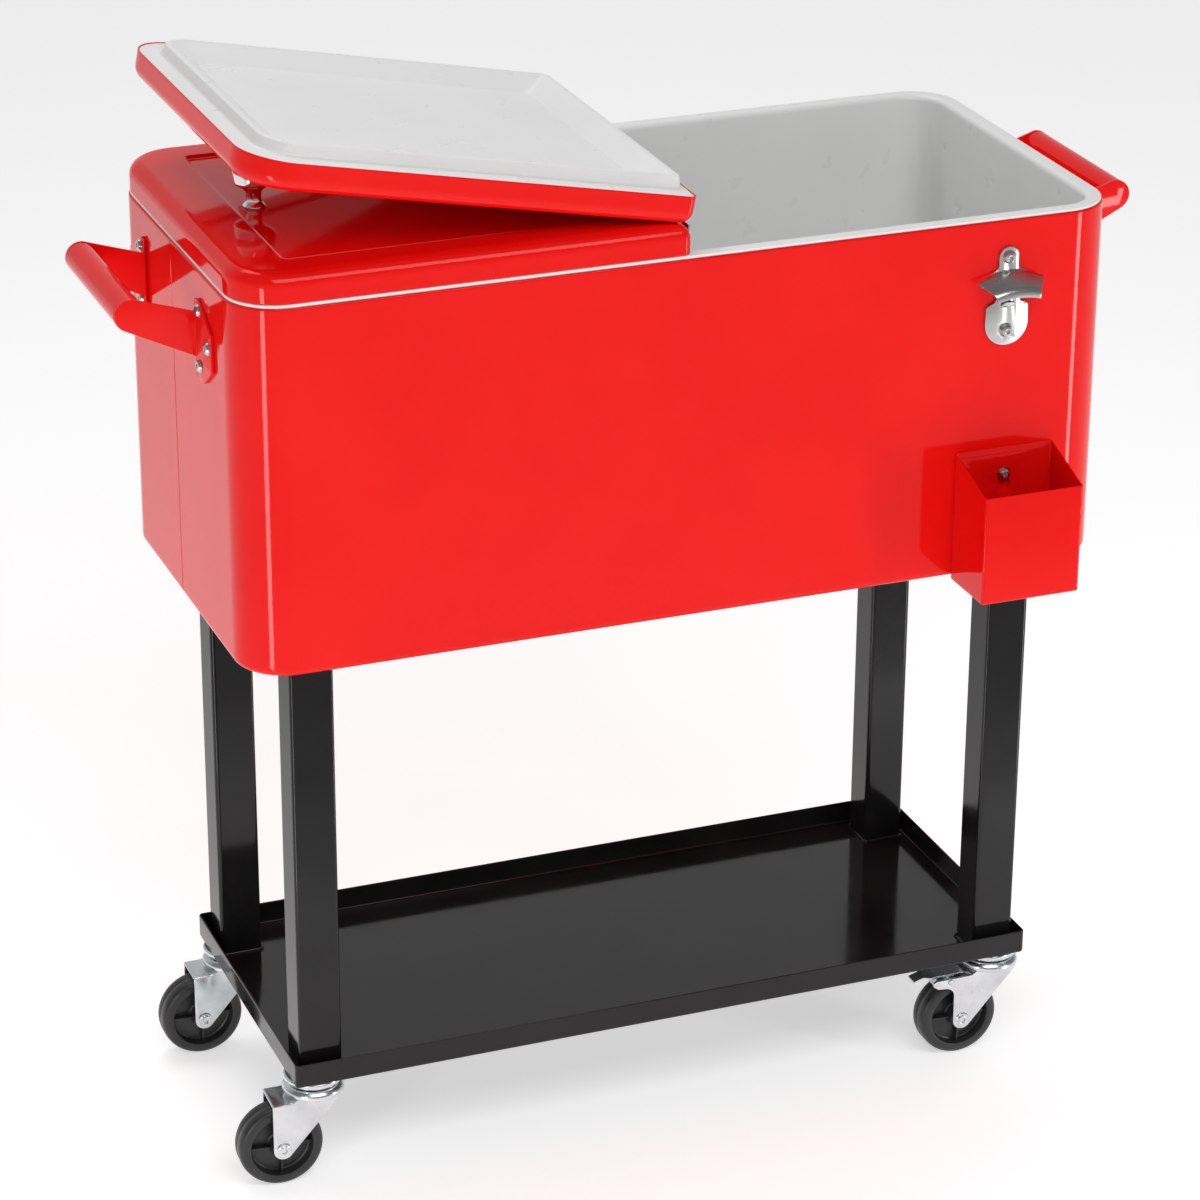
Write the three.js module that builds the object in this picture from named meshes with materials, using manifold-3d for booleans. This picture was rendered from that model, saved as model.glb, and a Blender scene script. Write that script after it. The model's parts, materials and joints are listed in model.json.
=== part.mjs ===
// A rolling patio cooler: an insulated red steel tub with two flip-over lids on a
// centre hinge, carried by four square legs on a black tray with swivel casters.
// Millimetres, +Z up, +X to the cooler's right end, -Y to the front with the opener.
// The right lid lies open, turned over the closed left lid until the knobs meet.
import * as THREE from 'three';
import { mergeVertices } from 'three/addons/utils/BufferGeometryUtils.js';
import Module from 'manifold-3d';

const wasm = await Module();
wasm.setup();

// ---- driving dimensions -------------------------------------------------------
const GAP = 0.3;
const TUB_LENGTH = 770;
const TUB_WIDTH = 358;
const TUB_HEIGHT = 316;
const TUB_CORNER = 45;
const TUB_FOOT_RADIUS = 6;
const WALL = 15.5;
const FLOOR_WALL = 24;
const STEEL = 1.2;
const LINER = 3;
const TRAY_LENGTH = 692;
const TRAY_WIDTH = 297;
const TRAY_DEPTH = 22;
const TRAY_STEEL = 1.5;
const LEG_X = 38;
const LEG_Y = 36;
const LEG_INSET_X = 7.5;
const LEG_INSET_Y = 12.5;
const CASTER_HEIGHT = 101.5;
const CASTER_INSET_X = 23;
const CASTER_INSET_Y = 26.5;
const SHELF_TO_TUB = 379;
const HANDLE_OFFSET = 12;
const RIM_THICKNESS = 2.5;
const LID_HEIGHT = 25;
const KNOB_HEIGHT = 30.7;
const HINGE_SINK = 1.1;

const LEG_WALL = 1.5;
const TRAY_TOP = CASTER_HEIGHT + TRAY_DEPTH;
const TUB_BOTTOM = TRAY_TOP + SHELF_TO_TUB;
const TUB_TOP = TUB_BOTTOM + TUB_HEIGHT;
const END_X = TUB_LENGTH / 2;
const SIDE_Y = TUB_WIDTH / 2;
const RIM_TOP = TUB_TOP + GAP + RIM_THICKNESS;
const LID_MOUTH = RIM_TOP + GAP;
const LID_TOP = LID_MOUTH + LID_HEIGHT;
const HINGE_Z = LID_TOP - HINGE_SINK;

// ---- materials ------------------------------------------------------------------
const material = (color, roughness, metalness) =>
  new THREE.MeshStandardMaterial({ color, roughness, metalness });
const RED = material(0xd81e1c, 0.18, 0.1);
const WHITE = material(0xf0f0ee, 0.35, 0);
const FOAM = material(0xf4efdf, 0.9, 0);
const BLACK = material(0x141414, 0.15, 0.2);
const ZINC = material(0xb9bec2, 0.3, 0.9);
const STAINLESS = material(0xa9a7a4, 0.3, 1);
const CHROME = material(0xdadada, 0.08, 1);
const WHEEL = material(0x2a2c2e, 0.5, 0);
const DRAIN = material(0x1c1c1c, 0.45, 0);

// ---- solids -----------------------------------------------------------------------
function solid(geometry) {
  const bare = geometry.index ? geometry.toNonIndexed() : geometry.clone();
  bare.deleteAttribute('normal');
  bare.deleteAttribute('uv');
  const merged = mergeVertices(bare, 1e-4);
  const vertProperties = new Float32Array(merged.attributes.position.array);
  const triVerts = new Uint32Array(merged.index.array);
  return new wasm.Manifold(new wasm.Mesh({ numProp: 3, vertProperties, triVerts }));
}

function geometryOf(manifold) {
  const mesh = manifold.getMesh();
  const geometry = new THREE.BufferGeometry();
  geometry.setAttribute('position', new THREE.BufferAttribute(mesh.vertProperties, 3));
  geometry.setIndex(new THREE.BufferAttribute(mesh.triVerts, 1));
  return geometry;
}

function add(parent, name, manifold, look) {
  const mesh = new THREE.Mesh(geometryOf(manifold), look);
  mesh.name = name;
  parent.add(mesh);
  return mesh;
}

function box(x0, x1, y0, y1, z0, z1) {
  const geometry = new THREE.BoxGeometry(x1 - x0, y1 - y0, z1 - z0);
  geometry.translate((x0 + x1) / 2, (y0 + y1) / 2, (z0 + z1) / 2);
  return solid(geometry);
}

// A cylinder along one axis, from a to b on that axis, centred on (u, v) in the other two.
function rod(axis, radius, a, b, u, v, sides = 16) {
  const geometry = new THREE.CylinderGeometry(radius, radius, b - a, sides);
  if (axis === 'x') geometry.rotateZ(Math.PI / 2);
  if (axis === 'z') geometry.rotateX(Math.PI / 2);
  const middle = (a + b) / 2;
  const place = { x: [middle, u, v], y: [u, middle, v], z: [u, v, middle] }[axis];
  geometry.translate(...place);
  return solid(geometry);
}

// A turned piece: [radius, height] points that start and end on the axis or close, around Z.
function turned(points, sides = 20) {
  const geometry = new THREE.LatheGeometry(points.map(([r, h]) => new THREE.Vector2(r, h)), sides);
  geometry.rotateX(Math.PI / 2);
  return solid(geometry);
}

// A flat outline in XY, raised from z0 to z1.
function slab(shape, z0, z1, curveSegments = 6) {
  const geometry = new THREE.ExtrudeGeometry(shape, { depth: z1 - z0, bevelEnabled: false, curveSegments });
  geometry.translate(0, 0, z0);
  return solid(geometry);
}

// A flat outline drawn as (x, z), given thickness from y0 to y1.
function uprightSlab(shape, y0, y1, curveSegments = 6) {
  const geometry = new THREE.ExtrudeGeometry(shape, { depth: y1 - y0, bevelEnabled: false, curveSegments });
  geometry.rotateX(Math.PI / 2);
  geometry.translate(0, y1, 0);
  return solid(geometry);
}

// A rectangle with a rounded corner at each end pair: nearX corners and farX corners.
function roundedRing({ x0, x1, y0, y1, near, far }, inset, z, steps = 5) {
  const corners = [
    [x1, y0, far, -1, 1, -Math.PI / 2],
    [x1, y1, far, -1, -1, 0],
    [x0, y1, near, 1, -1, Math.PI / 2],
    [x0, y0, near, 1, 1, Math.PI],
  ];
  const ring = [];
  for (const [cx, cy, radius, sx, sy, start] of corners) {
    const r = Math.max(radius - inset, 0.6);
    const px = cx + sx * (inset + r);
    const py = cy + sy * (inset + r);
    for (let i = 0; i <= steps; i += 1) {
      const angle = start + (Math.PI / 2) * (i / steps);
      ring.push(new THREE.Vector3(px + r * Math.cos(angle), py + r * Math.sin(angle), z));
    }
  }
  return ring;
}

// A closed solid through rings of equal point count, listed from the bottom up.
function loft(rings) {
  const count = rings[0].length;
  const points = rings.flat();
  const index = [];
  for (let k = 0; k < rings.length - 1; k += 1) {
    for (let i = 0; i < count; i += 1) {
      const a = k * count + i;
      const b = k * count + ((i + 1) % count);
      index.push(a, b, b + count, a, b + count, a + count);
    }
  }
  const last = (rings.length - 1) * count;
  for (let i = 1; i < count - 1; i += 1) {
    index.push(0, i + 1, i);
    index.push(last, last + i, last + i + 1);
  }
  const geometry = new THREE.BufferGeometry().setFromPoints(points);
  geometry.setIndex(index);
  return solid(geometry);
}

// Rings for a box whose top or bottom edge is rounded with the given radius.
function edgeRings(outline, inset, z, radius, direction, steps = 3) {
  const rings = [];
  for (let i = 0; i <= steps; i += 1) {
    const angle = (Math.PI / 2) * (i / steps);
    const extra = radius * (1 - Math.cos(angle));
    rings.push(roundedRing(outline, inset + extra, z + direction * radius * Math.sin(angle)));
  }
  return rings;
}

function roundBottomBox(outline, inset, bottom, top, radius) {
  const foot = edgeRings(outline, inset, bottom + radius, radius, -1).reverse();
  return loft([...foot, roundedRing(outline, inset, top)]);
}

// ---- tub -----------------------------------------------------------------------------
const TUB_OUTLINE = {
  x0: -END_X, x1: END_X, y0: -SIDE_Y, y1: SIDE_Y, near: TUB_CORNER, far: TUB_CORNER,
};
const DRAIN_Z = TUB_BOTTOM + FLOOR_WALL + 16;
const DRAIN_TUBE = 9;
const OPENER_X = 281;
const OPENER_SCREW_Z = [787, 722];
const CATCHER_X = 285;
const CATCHER_SCREW_Z = 592;
const SCREW_SHAFT = 2;
const SCREW_LENGTH = 9;

function wallHoles() {
  let holes = rod('x', DRAIN_TUBE + GAP, END_X - WALL - 5, END_X + 5, 0, DRAIN_Z);
  const frontScrews = OPENER_SCREW_Z.map((z) => [OPENER_X, z]);
  for (const [x, z] of [...frontScrews, [CATCHER_X, CATCHER_SCREW_Z]]) {
    holes = holes.add(rod('y', SCREW_SHAFT + GAP, -SIDE_Y - 2, -SIDE_Y + SCREW_LENGTH, x, z, 12));
  }
  return holes;
}

function buildTub(parent) {
  const holes = wallHoles();
  const linerOuter = WALL - LINER;
  const linerBottom = TUB_BOTTOM + FLOOR_WALL - LINER;
  const outside = roundBottomBox(TUB_OUTLINE, 0, TUB_BOTTOM, TUB_TOP, TUB_FOOT_RADIUS);
  const steelInside = roundBottomBox(
    TUB_OUTLINE, STEEL, TUB_BOTTOM + STEEL, TUB_TOP + 5, TUB_FOOT_RADIUS - STEEL);
  add(parent, 'tub_shell', outside.subtract(steelInside).subtract(holes), RED);

  const foamOutside = roundBottomBox(
    TUB_OUTLINE, STEEL + GAP, TUB_BOTTOM + STEEL + GAP, TUB_TOP, TUB_FOOT_RADIUS - STEEL);
  const foamInside = roundBottomBox(TUB_OUTLINE, linerOuter - GAP, linerBottom - GAP, TUB_TOP + 5, 12);
  add(parent, 'tub_insulation', foamOutside.subtract(foamInside).subtract(holes), FOAM);

  const linerSkin = roundBottomBox(TUB_OUTLINE, linerOuter, linerBottom, RIM_TOP, 12);
  const flange = loft([
    roundedRing(TUB_OUTLINE, 1.5, TUB_TOP + GAP),
    roundedRing(TUB_OUTLINE, 1.5, RIM_TOP - 1),
    roundedRing(TUB_OUTLINE, 2.5, RIM_TOP),
  ]);
  const linerInside = roundBottomBox(TUB_OUTLINE, WALL, linerBottom + LINER, RIM_TOP + 5, 10);
  add(parent, 'tub_liner', linerSkin.add(flange).subtract(linerInside).subtract(holes), WHITE);
}

// ---- drain: a threaded spout through the right end wall, with a screw cap ------------
function buildDrain(parent) {
  const bore = DRAIN_TUBE - 2.5;
  const face = END_X + GAP;
  const spout = turned([
    [bore, END_X - WALL - 2], [DRAIN_TUBE, END_X - WALL - 2], [DRAIN_TUBE, face], [15, face],
    [15, face + 3], [DRAIN_TUBE, face + 3], [DRAIN_TUBE, face + 18], [bore, face + 18],
    [bore, END_X - WALL - 2],
  ]);
  const cap = turned([
    [0, face + 18.5], [DRAIN_TUBE + 0.4, face + 18.5], [DRAIN_TUBE + 0.4, face + 3.5],
    [12.5, face + 3.5], [13, face + 21], [11.5, face + 22], [0, face + 22],
  ]);
  const turn = (manifold) => manifold.rotate([0, 90, 0]).translate([0, 0, DRAIN_Z]);
  add(parent, 'drain_spout', turn(spout), DRAIN);
  add(parent, 'drain_cap', turn(cap), DRAIN);
}

// ---- lids: each built with the hinge line on Y through its own origin, body to +X -----
const LID_END = 2.5;
const LID_ROUND = 12;
const LID_STEEL = 1.2;
const PANEL_DEPTH = 3;
const PANEL = { x0: 46, x1: 336, y0: -141, y1: 141, near: 6, far: 6 };
const LID_OUTLINE = {
  x0: LID_END, x1: END_X - 1, y0: -(SIDE_Y - 1.5), y1: SIDE_Y - 1.5, near: 8, far: TUB_CORNER - 1,
};
const RIDGE = { x0: 8, x1: 366, y0: -156, y1: 156, near: 9, far: 30 };
const RIDGE_HEIGHT = 10;
const RIDGE_BATTER = 3;
const CREST_INSET = 6.5;
const DISH_FLOOR = { x0: 50, x1: 324, y0: -114, y1: 114, near: 8, far: 10 };
const DISH_DEPTH = 10;
const DISH_MIDWAY = 20;
const LID_LINER = 2.5;
const LINER_FACE = 0.4;
const KNOB_X = 317;
const CAP_RADIUS = 17;
const KNOB_BORE = 14;
const MOUTH = LID_MOUTH - HINGE_Z;
const TOP = LID_TOP - HINGE_Z;
const PANEL_Z = TOP - PANEL_DEPTH;

function lidSolid(inset, bottom, top, round) {
  const shoulder = edgeRings(LID_OUTLINE, inset, top - round, round, 1);
  return loft([roundedRing(LID_OUTLINE, inset, bottom), ...shoulder]);
}

function panelBox(grow, floor) {
  return loft([
    roundedRing(PANEL, 2 - grow, floor),
    roundedRing(PANEL, -grow, TOP - grow),
    roundedRing(PANEL, -grow, TOP + 5),
  ]);
}

// The dish pressed up into the lid from its liner plate, as the block that it takes up.
function dishBlock(bottom, grow) {
  return loft([
    roundedRing(RIDGE, DISH_MIDWAY - grow, bottom),
    roundedRing(DISH_FLOOR, -1 - grow, MOUTH + LINER_FACE + DISH_DEPTH + LID_LINER + grow),
  ]);
}

function buildLid(parent, side) {
  const inner = LID_ROUND - LID_STEEL;
  const screwHole = rod('z', SCREW_SHAFT + GAP, MOUTH - 2, TOP + 2, KNOB_X, 0, 12);
  const hollow = lidSolid(LID_STEEL, MOUTH - 5, TOP - LID_STEEL, inner)
    .subtract(panelBox(LID_STEEL, PANEL_Z - LID_STEEL));
  const shell = lidSolid(0, MOUTH, TOP, LID_ROUND).subtract(panelBox(0, PANEL_Z)).subtract(hollow);
  add(parent, `${side}_lid_shell`, shell.subtract(screwHole), RED);

  const plateBottom = MOUTH + LINER_FACE;
  const plateTop = plateBottom + LID_LINER;
  const edge = LID_STEEL + GAP;
  const foam = lidSolid(edge, plateTop + GAP, TOP - edge, inner)
    .subtract(panelBox(edge, PANEL_Z - edge))
    .subtract(dishBlock(plateTop, GAP));
  add(parent, `${side}_lid_foam`, foam.subtract(screwHole), FOAM);

  const plate = loft([
    roundedRing(LID_OUTLINE, edge, plateBottom),
    roundedRing(LID_OUTLINE, edge, plateTop),
  ]);
  const ridgeTip = plateBottom - RIDGE_HEIGHT;
  const ridge = loft([
    roundedRing(RIDGE, RIDGE_BATTER, ridgeTip),
    roundedRing(RIDGE, 0, plateBottom + 1),
  ]);
  const dishFace = plateBottom + DISH_DEPTH;
  const dish = loft([
    roundedRing(RIDGE, CREST_INSET, ridgeTip - 0.5),
    roundedRing(DISH_FLOOR, 0, dishFace),
  ]);
  const liner = plate.add(ridge).add(dishBlock(plateBottom + 1, 0)).subtract(dish);
  add(parent, `${side}_lid_liner`, liner.subtract(screwHole), WHITE);

  const knob = turned([
    [0, KNOB_BORE], [2.6, KNOB_BORE], [2.6, GAP], [9.5, GAP], [6.4, 5], [6.4, 12], [9, 17.5],
    [CAP_RADIUS - 0.6, KNOB_HEIGHT - 9], [CAP_RADIUS, KNOB_HEIGHT - 7.6],
    [CAP_RADIUS, KNOB_HEIGHT - 1.2], [CAP_RADIUS - 1.2, KNOB_HEIGHT],
    [CAP_RADIUS - 3, KNOB_HEIGHT - 1], [0, KNOB_HEIGHT - 2],
  ]);
  add(parent, `${side}_knob`, knob.translate([KNOB_X, 0, PANEL_Z]), CHROME);

  const under = dishFace - GAP;
  const screw = turned([
    [0, under - 2.6], [4.6, under - 1.2], [4.6, under], [SCREW_SHAFT, under],
    [SCREW_SHAFT, PANEL_Z + KNOB_BORE - 2], [0, PANEL_Z + KNOB_BORE - 2],
  ], 12);
  add(parent, `${side}_knob_screw`, screw.translate([KNOB_X, 0, 0]), STAINLESS);
}

// ---- centre hinge: a bar across the mouth, a leaf on each lid and one long pin ---------
const KNUCKLE_RADIUS = 2.6;
const PIN_RADIUS = 1.3;
const KNUCKLE_PITCH = 12;
const HINGE_GROUPS = [-110, 0, 110];
const BAR_KNUCKLES = [-2, 2];
const LEFT_KNUCKLES = [-1, 1];
const RIGHT_KNUCKLES = [0];
const LEAF_GAP = 1.15;

function knuckles(base, places, x0, x1, riserBottom) {
  let piece = base;
  const half = KNUCKLE_PITCH / 2 - 0.25;
  for (const group of HINGE_GROUPS) {
    for (const place of places) {
      const y = group + place * KNUCKLE_PITCH;
      piece = piece.add(rod('y', KNUCKLE_RADIUS, y - half, y + half, 0, 0, 8));
      piece = piece.add(box(x0, x1, y - half, y + half, riserBottom, 0));
    }
  }
  return piece.subtract(rod('y', PIN_RADIUS + 2 * GAP, -200, 200, 0, 0, 8));
}

function buildLeaf(parent, side, places) {
  const strip = box(LEAF_GAP, LEAF_GAP + 1, -150, 150, MOUTH + 3, -4.2);
  add(parent, `${side}_lid_leaf`, knuckles(strip, places, LEAF_GAP, LEAF_GAP + 1, -5), STAINLESS);
}

function buildHingeBar(parent) {
  const wallY = SIDE_Y - WALL - GAP;
  const depth = 44;
  let bar = box(-0.8, 0.8, -wallY, wallY, -depth, -KNUCKLE_RADIUS - 0.6);
  for (const side of [-1, 1]) {
    const foot = box(-14, 14, -1, 1, -depth - 10, MOUTH - RIM_THICKNESS - 3);
    bar = bar.add(foot.translate([0, side * (wallY - 1), 0]));
  }
  add(parent, 'hinge_bar', knuckles(bar, BAR_KNUCKLES, -0.8, 0.8, -4), STAINLESS);
  const pinEnd = HINGE_GROUPS[2] + 3 * KNUCKLE_PITCH;
  add(parent, 'hinge_pin', rod('y', PIN_RADIUS, -pinEnd, pinEnd, 0, 0, 8), STAINLESS);
}

// The open lid stops where the two caps meet, so its angle follows from the knobs.
const CAP_TOP = PANEL_Z + KNOB_HEIGHT + GAP;
const OPEN_ANGLE = Math.PI - 2 * Math.atan2(CAP_TOP, KNOB_X - CAP_RADIUS);

function buildLids(parent) {
  const hinge = new THREE.Group();
  hinge.position.set(0, 0, HINGE_Z);
  parent.add(hinge);
  buildHingeBar(hinge);
  const left = new THREE.Group();
  left.rotation.z = Math.PI;
  hinge.add(left);
  buildLid(left, 'left');
  buildLeaf(left, 'left', LEFT_KNUCKLES);
  const right = new THREE.Group();
  right.rotation.y = -OPEN_ANGLE;
  hinge.add(right);
  buildLid(right, 'right');
  buildLeaf(right, 'right', RIGHT_KNUCKLES);
}

// ---- legs and shelf ----------------------------------------------------------------------
const LEG_CENTRE_X = TRAY_LENGTH / 2 - LEG_INSET_X - LEG_X / 2;
const LEG_CENTRE_Y = TRAY_WIDTH / 2 - LEG_INSET_Y - LEG_Y / 2;
const CORNERS = [
  ['front_left', -1, -1, -2], ['front_right', 1, -1, 0],
  ['back_left', -1, 1, 0], ['back_right', 1, 1, 4],
];
const CASTER_X = TRAY_LENGTH / 2 - CASTER_INSET_X;
const CASTER_Y = TRAY_WIDTH / 2 - CASTER_INSET_Y;
const LEG_CAP = 3;
const STEM_RADIUS = 6;

function legTube() {
  const bottom = CASTER_HEIGHT + TRAY_STEEL + GAP;
  const top = TUB_BOTTOM - GAP;
  const outline = {
    x0: -LEG_X / 2, x1: LEG_X / 2, y0: -LEG_Y / 2, y1: LEG_Y / 2, near: 2.5, far: 2.5,
  };
  const ring = (inset, z) => roundedRing(outline, inset, z, 2);
  const tube = loft([ring(0, bottom), ring(0, top)]);
  const hollow = loft([ring(LEG_WALL, bottom - 5), ring(LEG_WALL, top - LEG_CAP)]);
  return tube.subtract(hollow);
}

function buildShelf(parent) {
  const outline = {
    x0: -TRAY_LENGTH / 2, x1: TRAY_LENGTH / 2, y0: -TRAY_WIDTH / 2, y1: TRAY_WIDTH / 2, near: 4, far: 4,
  };
  let tray = loft([
    roundedRing(outline, 1, CASTER_HEIGHT, 3),
    roundedRing(outline, 0, CASTER_HEIGHT + 1, 3),
    roundedRing(outline, 0, TRAY_TOP, 3),
  ]).subtract(loft([
    roundedRing(outline, TRAY_STEEL, CASTER_HEIGHT + TRAY_STEEL, 3),
    roundedRing(outline, TRAY_STEEL, TRAY_TOP + 5, 3),
  ]));
  for (const [name, sx, sy] of CORNERS) {
    const x = sx * LEG_CENTRE_X;
    const y = sy * LEG_CENTRE_Y;
    const hole = rod(
      'z', STEM_RADIUS + GAP, CASTER_HEIGHT - 2, CASTER_HEIGHT + 5, sx * CASTER_X, sy * CASTER_Y);
    tray = tray.subtract(hole);
    add(parent, `${name}_leg`, legTube().translate([x, y, 0]), BLACK);
  }
  add(parent, 'bottom_shelf', tray, BLACK);
}

// ---- casters: stem and raceway fixed, fork swivels, wheel trails to -X ---------------------
const WHEEL_RADIUS = 37.5;
const WHEEL_HALF = 12;
const TRAIL = 32;
const ARM_INSIDE = 14.8;
const ARM_STEEL = 2.5;
const ARM_END = 9;
const RACE_RADIUS = 26;
const CROWN_BORE = 5.8;
const CROWN_STEEL = 3;
const CROWN_TOP = 93.2;
const CROWN_BOTTOM = 84;
const RACE_BOTTOM = CROWN_TOP + GAP;
const SHOULDER_TOP = 81.5;
const AXLE_RADIUS = 3;
const PEDAL_PIVOT = [-45, 78.5];
const EAR_END = -62;
const DECK_HALF = 20;

function casterStem() {
  return turned([
    [0, 79], [8, 79], [8, 82], [5, 82], [5, RACE_BOTTOM], [RACE_RADIUS - 3, RACE_BOTTOM],
    [RACE_RADIUS, RACE_BOTTOM + 2], [RACE_RADIUS, CASTER_HEIGHT - GAP],
    [STEM_RADIUS, CASTER_HEIGHT - GAP], [STEM_RADIUS, 118], [0, 118],
  ], 18);
}

// A pressed arm: level shoulder over the wheel, straight trailing edge, slanted leading edge.
// The braked one has an ear behind the trailing edge that carries the pedal's rod.
function forkArm(braked) {
  const tail = -TRAIL - ARM_END;
  const shape = new THREE.Shape();
  if (braked) {
    shape.moveTo(EAR_END, SHOULDER_TOP);
    shape.lineTo(EAR_END, SHOULDER_TOP - 6);
    shape.lineTo(EAR_END + 4, 73);
    shape.lineTo(tail - 8, 72.5);
    shape.lineTo(tail - 2, 69);
    shape.lineTo(tail, 62);
  } else {
    shape.moveTo(tail, SHOULDER_TOP);
  }
  shape.absarc(-TRAIL, WHEEL_RADIUS, ARM_END, Math.PI, Math.PI * 1.82, false);
  shape.lineTo(DECK_HALF, SHOULDER_TOP);
  shape.lineTo(DECK_HALF, CROWN_BOTTOM + CROWN_STEEL);
  shape.lineTo(-DECK_HALF, CROWN_BOTTOM + CROWN_STEEL);
  shape.lineTo(-DECK_HALF - 4, SHOULDER_TOP);
  return shape;
}

function casterFork(braked) {
  const outside = ARM_INSIDE + ARM_STEEL;
  const crown = turned([
    [CROWN_BORE, CROWN_BOTTOM], [RACE_RADIUS + 1, CROWN_BOTTOM], [RACE_RADIUS + 1, CROWN_TOP - 4],
    [RACE_RADIUS - 3, CROWN_TOP], [CROWN_BORE, CROWN_TOP], [CROWN_BORE, CROWN_BOTTOM],
  ], 18);
  const deckTop = CROWN_BOTTOM + CROWN_STEEL;
  const deck = box(-DECK_HALF, DECK_HALF, -outside, outside, CROWN_BOTTOM, deckTop)
    .subtract(rod('z', CROWN_BORE, CROWN_BOTTOM - 1, CROWN_TOP, 0, 0, 14));
  let fork = crown.add(deck);
  if (!braked) {
    const low = SHOULDER_TOP - ARM_STEEL;
    const shoulder = box(-TRAIL - ARM_END, -DECK_HALF, -outside, outside, low, SHOULDER_TOP);
    const step = box(-DECK_HALF, -DECK_HALF + ARM_STEEL, -outside, outside, low, deckTop);
    fork = fork.add(shoulder).add(step);
  }
  for (const y of [-outside, ARM_INSIDE]) {
    fork = fork.add(uprightSlab(forkArm(braked), y, y + ARM_STEEL, 4));
  }
  const axleHole = rod('y', AXLE_RADIUS + 2 * GAP, -40, 40, -TRAIL, WHEEL_RADIUS, 10);
  fork = fork.subtract(axleHole);
  if (braked) fork = fork.subtract(rod('y', 2.8, -40, 40, ...PEDAL_PIVOT, 8));
  return fork;
}

function casterAxle() {
  const face = ARM_INSIDE + ARM_STEEL + GAP;
  const end = face + 2;
  return turned([
    [0, -end], [4, -end], [5.5, -face], [AXLE_RADIUS, -face], [AXLE_RADIUS, face],
    [5.5, face], [4, end], [0, end],
  ], 12).rotate([90, 0, 0]).translate([-TRAIL, 0, WHEEL_RADIUS]);
}

function casterWheel() {
  const bore = AXLE_RADIUS + 2 * GAP;
  const hub = 14;
  const tread = WHEEL_RADIUS;
  return turned([
    [bore, -hub], [11, -hub], [14, -8], [30, -WHEEL_HALF], [tread - 1.5, -WHEEL_HALF],
    [tread, -WHEEL_HALF + 3], [tread, WHEEL_HALF - 3], [tread - 1.5, WHEEL_HALF], [30, WHEEL_HALF],
    [14, 8], [11, hub], [bore, hub], [bore, -hub],
  ], 22).rotate([90, 0, 0]).translate([-TRAIL, 0, WHEEL_RADIUS]);
}

// The pedal rocks on its rod: its tab goes down until the shoe is just off the tread.
function brakePedal() {
  const outline = [
    [-29, 84.5], [-60, 84.5], [-77, 80.5], [-76.3, 78], [-60, 81], [-58, 71.5], [-54.5, 71.5],
    [-52, 77], [-40, 77], [-38, 82], [-29, 82],
  ];
  const lever = uprightSlab(new THREE.Shape(outline.map(([x, z]) => new THREE.Vector2(x, z))), -12, 12);
  const end = ARM_INSIDE + ARM_STEEL + 1;
  return lever.add(rod('y', 2.2, -end, end, ...PEDAL_PIVOT, 12));
}

function buildCasters(parent) {
  for (const [name, sx, sy, turn] of CORNERS) {
    const caster = new THREE.Group();
    caster.position.set(sx * CASTER_X, sy * CASTER_Y, 0);
    caster.rotation.z = THREE.MathUtils.degToRad(turn);
    parent.add(caster);
    add(caster, `${name}_caster_stem`, casterStem(), ZINC);
    add(caster, `${name}_caster_fork`, casterFork(sx > 0), ZINC);
    add(caster, `${name}_caster_axle`, casterAxle(), ZINC);
    add(caster, `${name}_caster_wheel`, casterWheel(), WHEEL);
    if (sx > 0) add(caster, `${name}_brake_pedal`, brakePedal(), ZINC);
  }
}

// ---- handles: two folded brackets and a tube grip on each end ----------------------------------
const ARM_SPAN = 156;
const GRIP_RADIUS = 13;
const GRIP_OUT = 56.5;
const GRIP_Z = TUB_TOP - 32;
const BRACKET_STEEL = 2.5;

// The bracket's arm and flange, for the -Y side of the right-hand handle.
function handleBracket() {
  const face = END_X + GAP;
  const arm = new THREE.Shape();
  arm.moveTo(face, TUB_TOP - 75);
  arm.lineTo(END_X + GRIP_OUT + 4, GRIP_Z - GRIP_RADIUS);
  arm.absarc(END_X + GRIP_OUT, GRIP_Z, GRIP_RADIUS + 0.5, -Math.PI * 0.38, Math.PI * 0.55, false);
  arm.lineTo(face, TUB_TOP - 36);
  const y0 = -ARM_SPAN / 2;
  const sheet = uprightSlab(arm, y0, y0 + BRACKET_STEEL);
  const flange = new THREE.Shape();
  const points = [[0, -94], [-20, -92], [-42, -68], [-42, -42], [-18, -21], [0, -21]];
  points.forEach(([y, z], i) => {
    if (i === 0) flange.moveTo(y, z);
    else flange.lineTo(y, z);
  });
  const plate = slab(flange, 0, BRACKET_STEEL).rotate([90, 0, 90]);
  return sheet.add(plate.translate([face, y0 + BRACKET_STEEL, TUB_TOP]));
}

function buildHandles(parent) {
  const grip = rod('y', GRIP_RADIUS, -ARM_SPAN / 2 + BRACKET_STEEL + GAP,
    ARM_SPAN / 2 - BRACKET_STEEL - GAP, END_X + GRIP_OUT, GRIP_Z, 20);
  const bore = rod('y', GRIP_RADIUS - 2, -ARM_SPAN, ARM_SPAN, END_X + GRIP_OUT, GRIP_Z, 20);
  const bracket = handleBracket();
  for (const [side, mirrorX] of [['right', false], ['left', true]]) {
    const place = (piece) => {
      const turnedPiece = mirrorX ? piece.mirror([1, 0, 0]) : piece;
      return turnedPiece.translate([0, HANDLE_OFFSET, 0]);
    };
    add(parent, `${side}_handle_front_bracket`, place(bracket), RED);
    add(parent, `${side}_handle_rear_bracket`, place(bracket.mirror([0, 1, 0])), RED);
    add(parent, `${side}_handle_grip`, place(grip.subtract(bore)), RED);
  }
}

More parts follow.
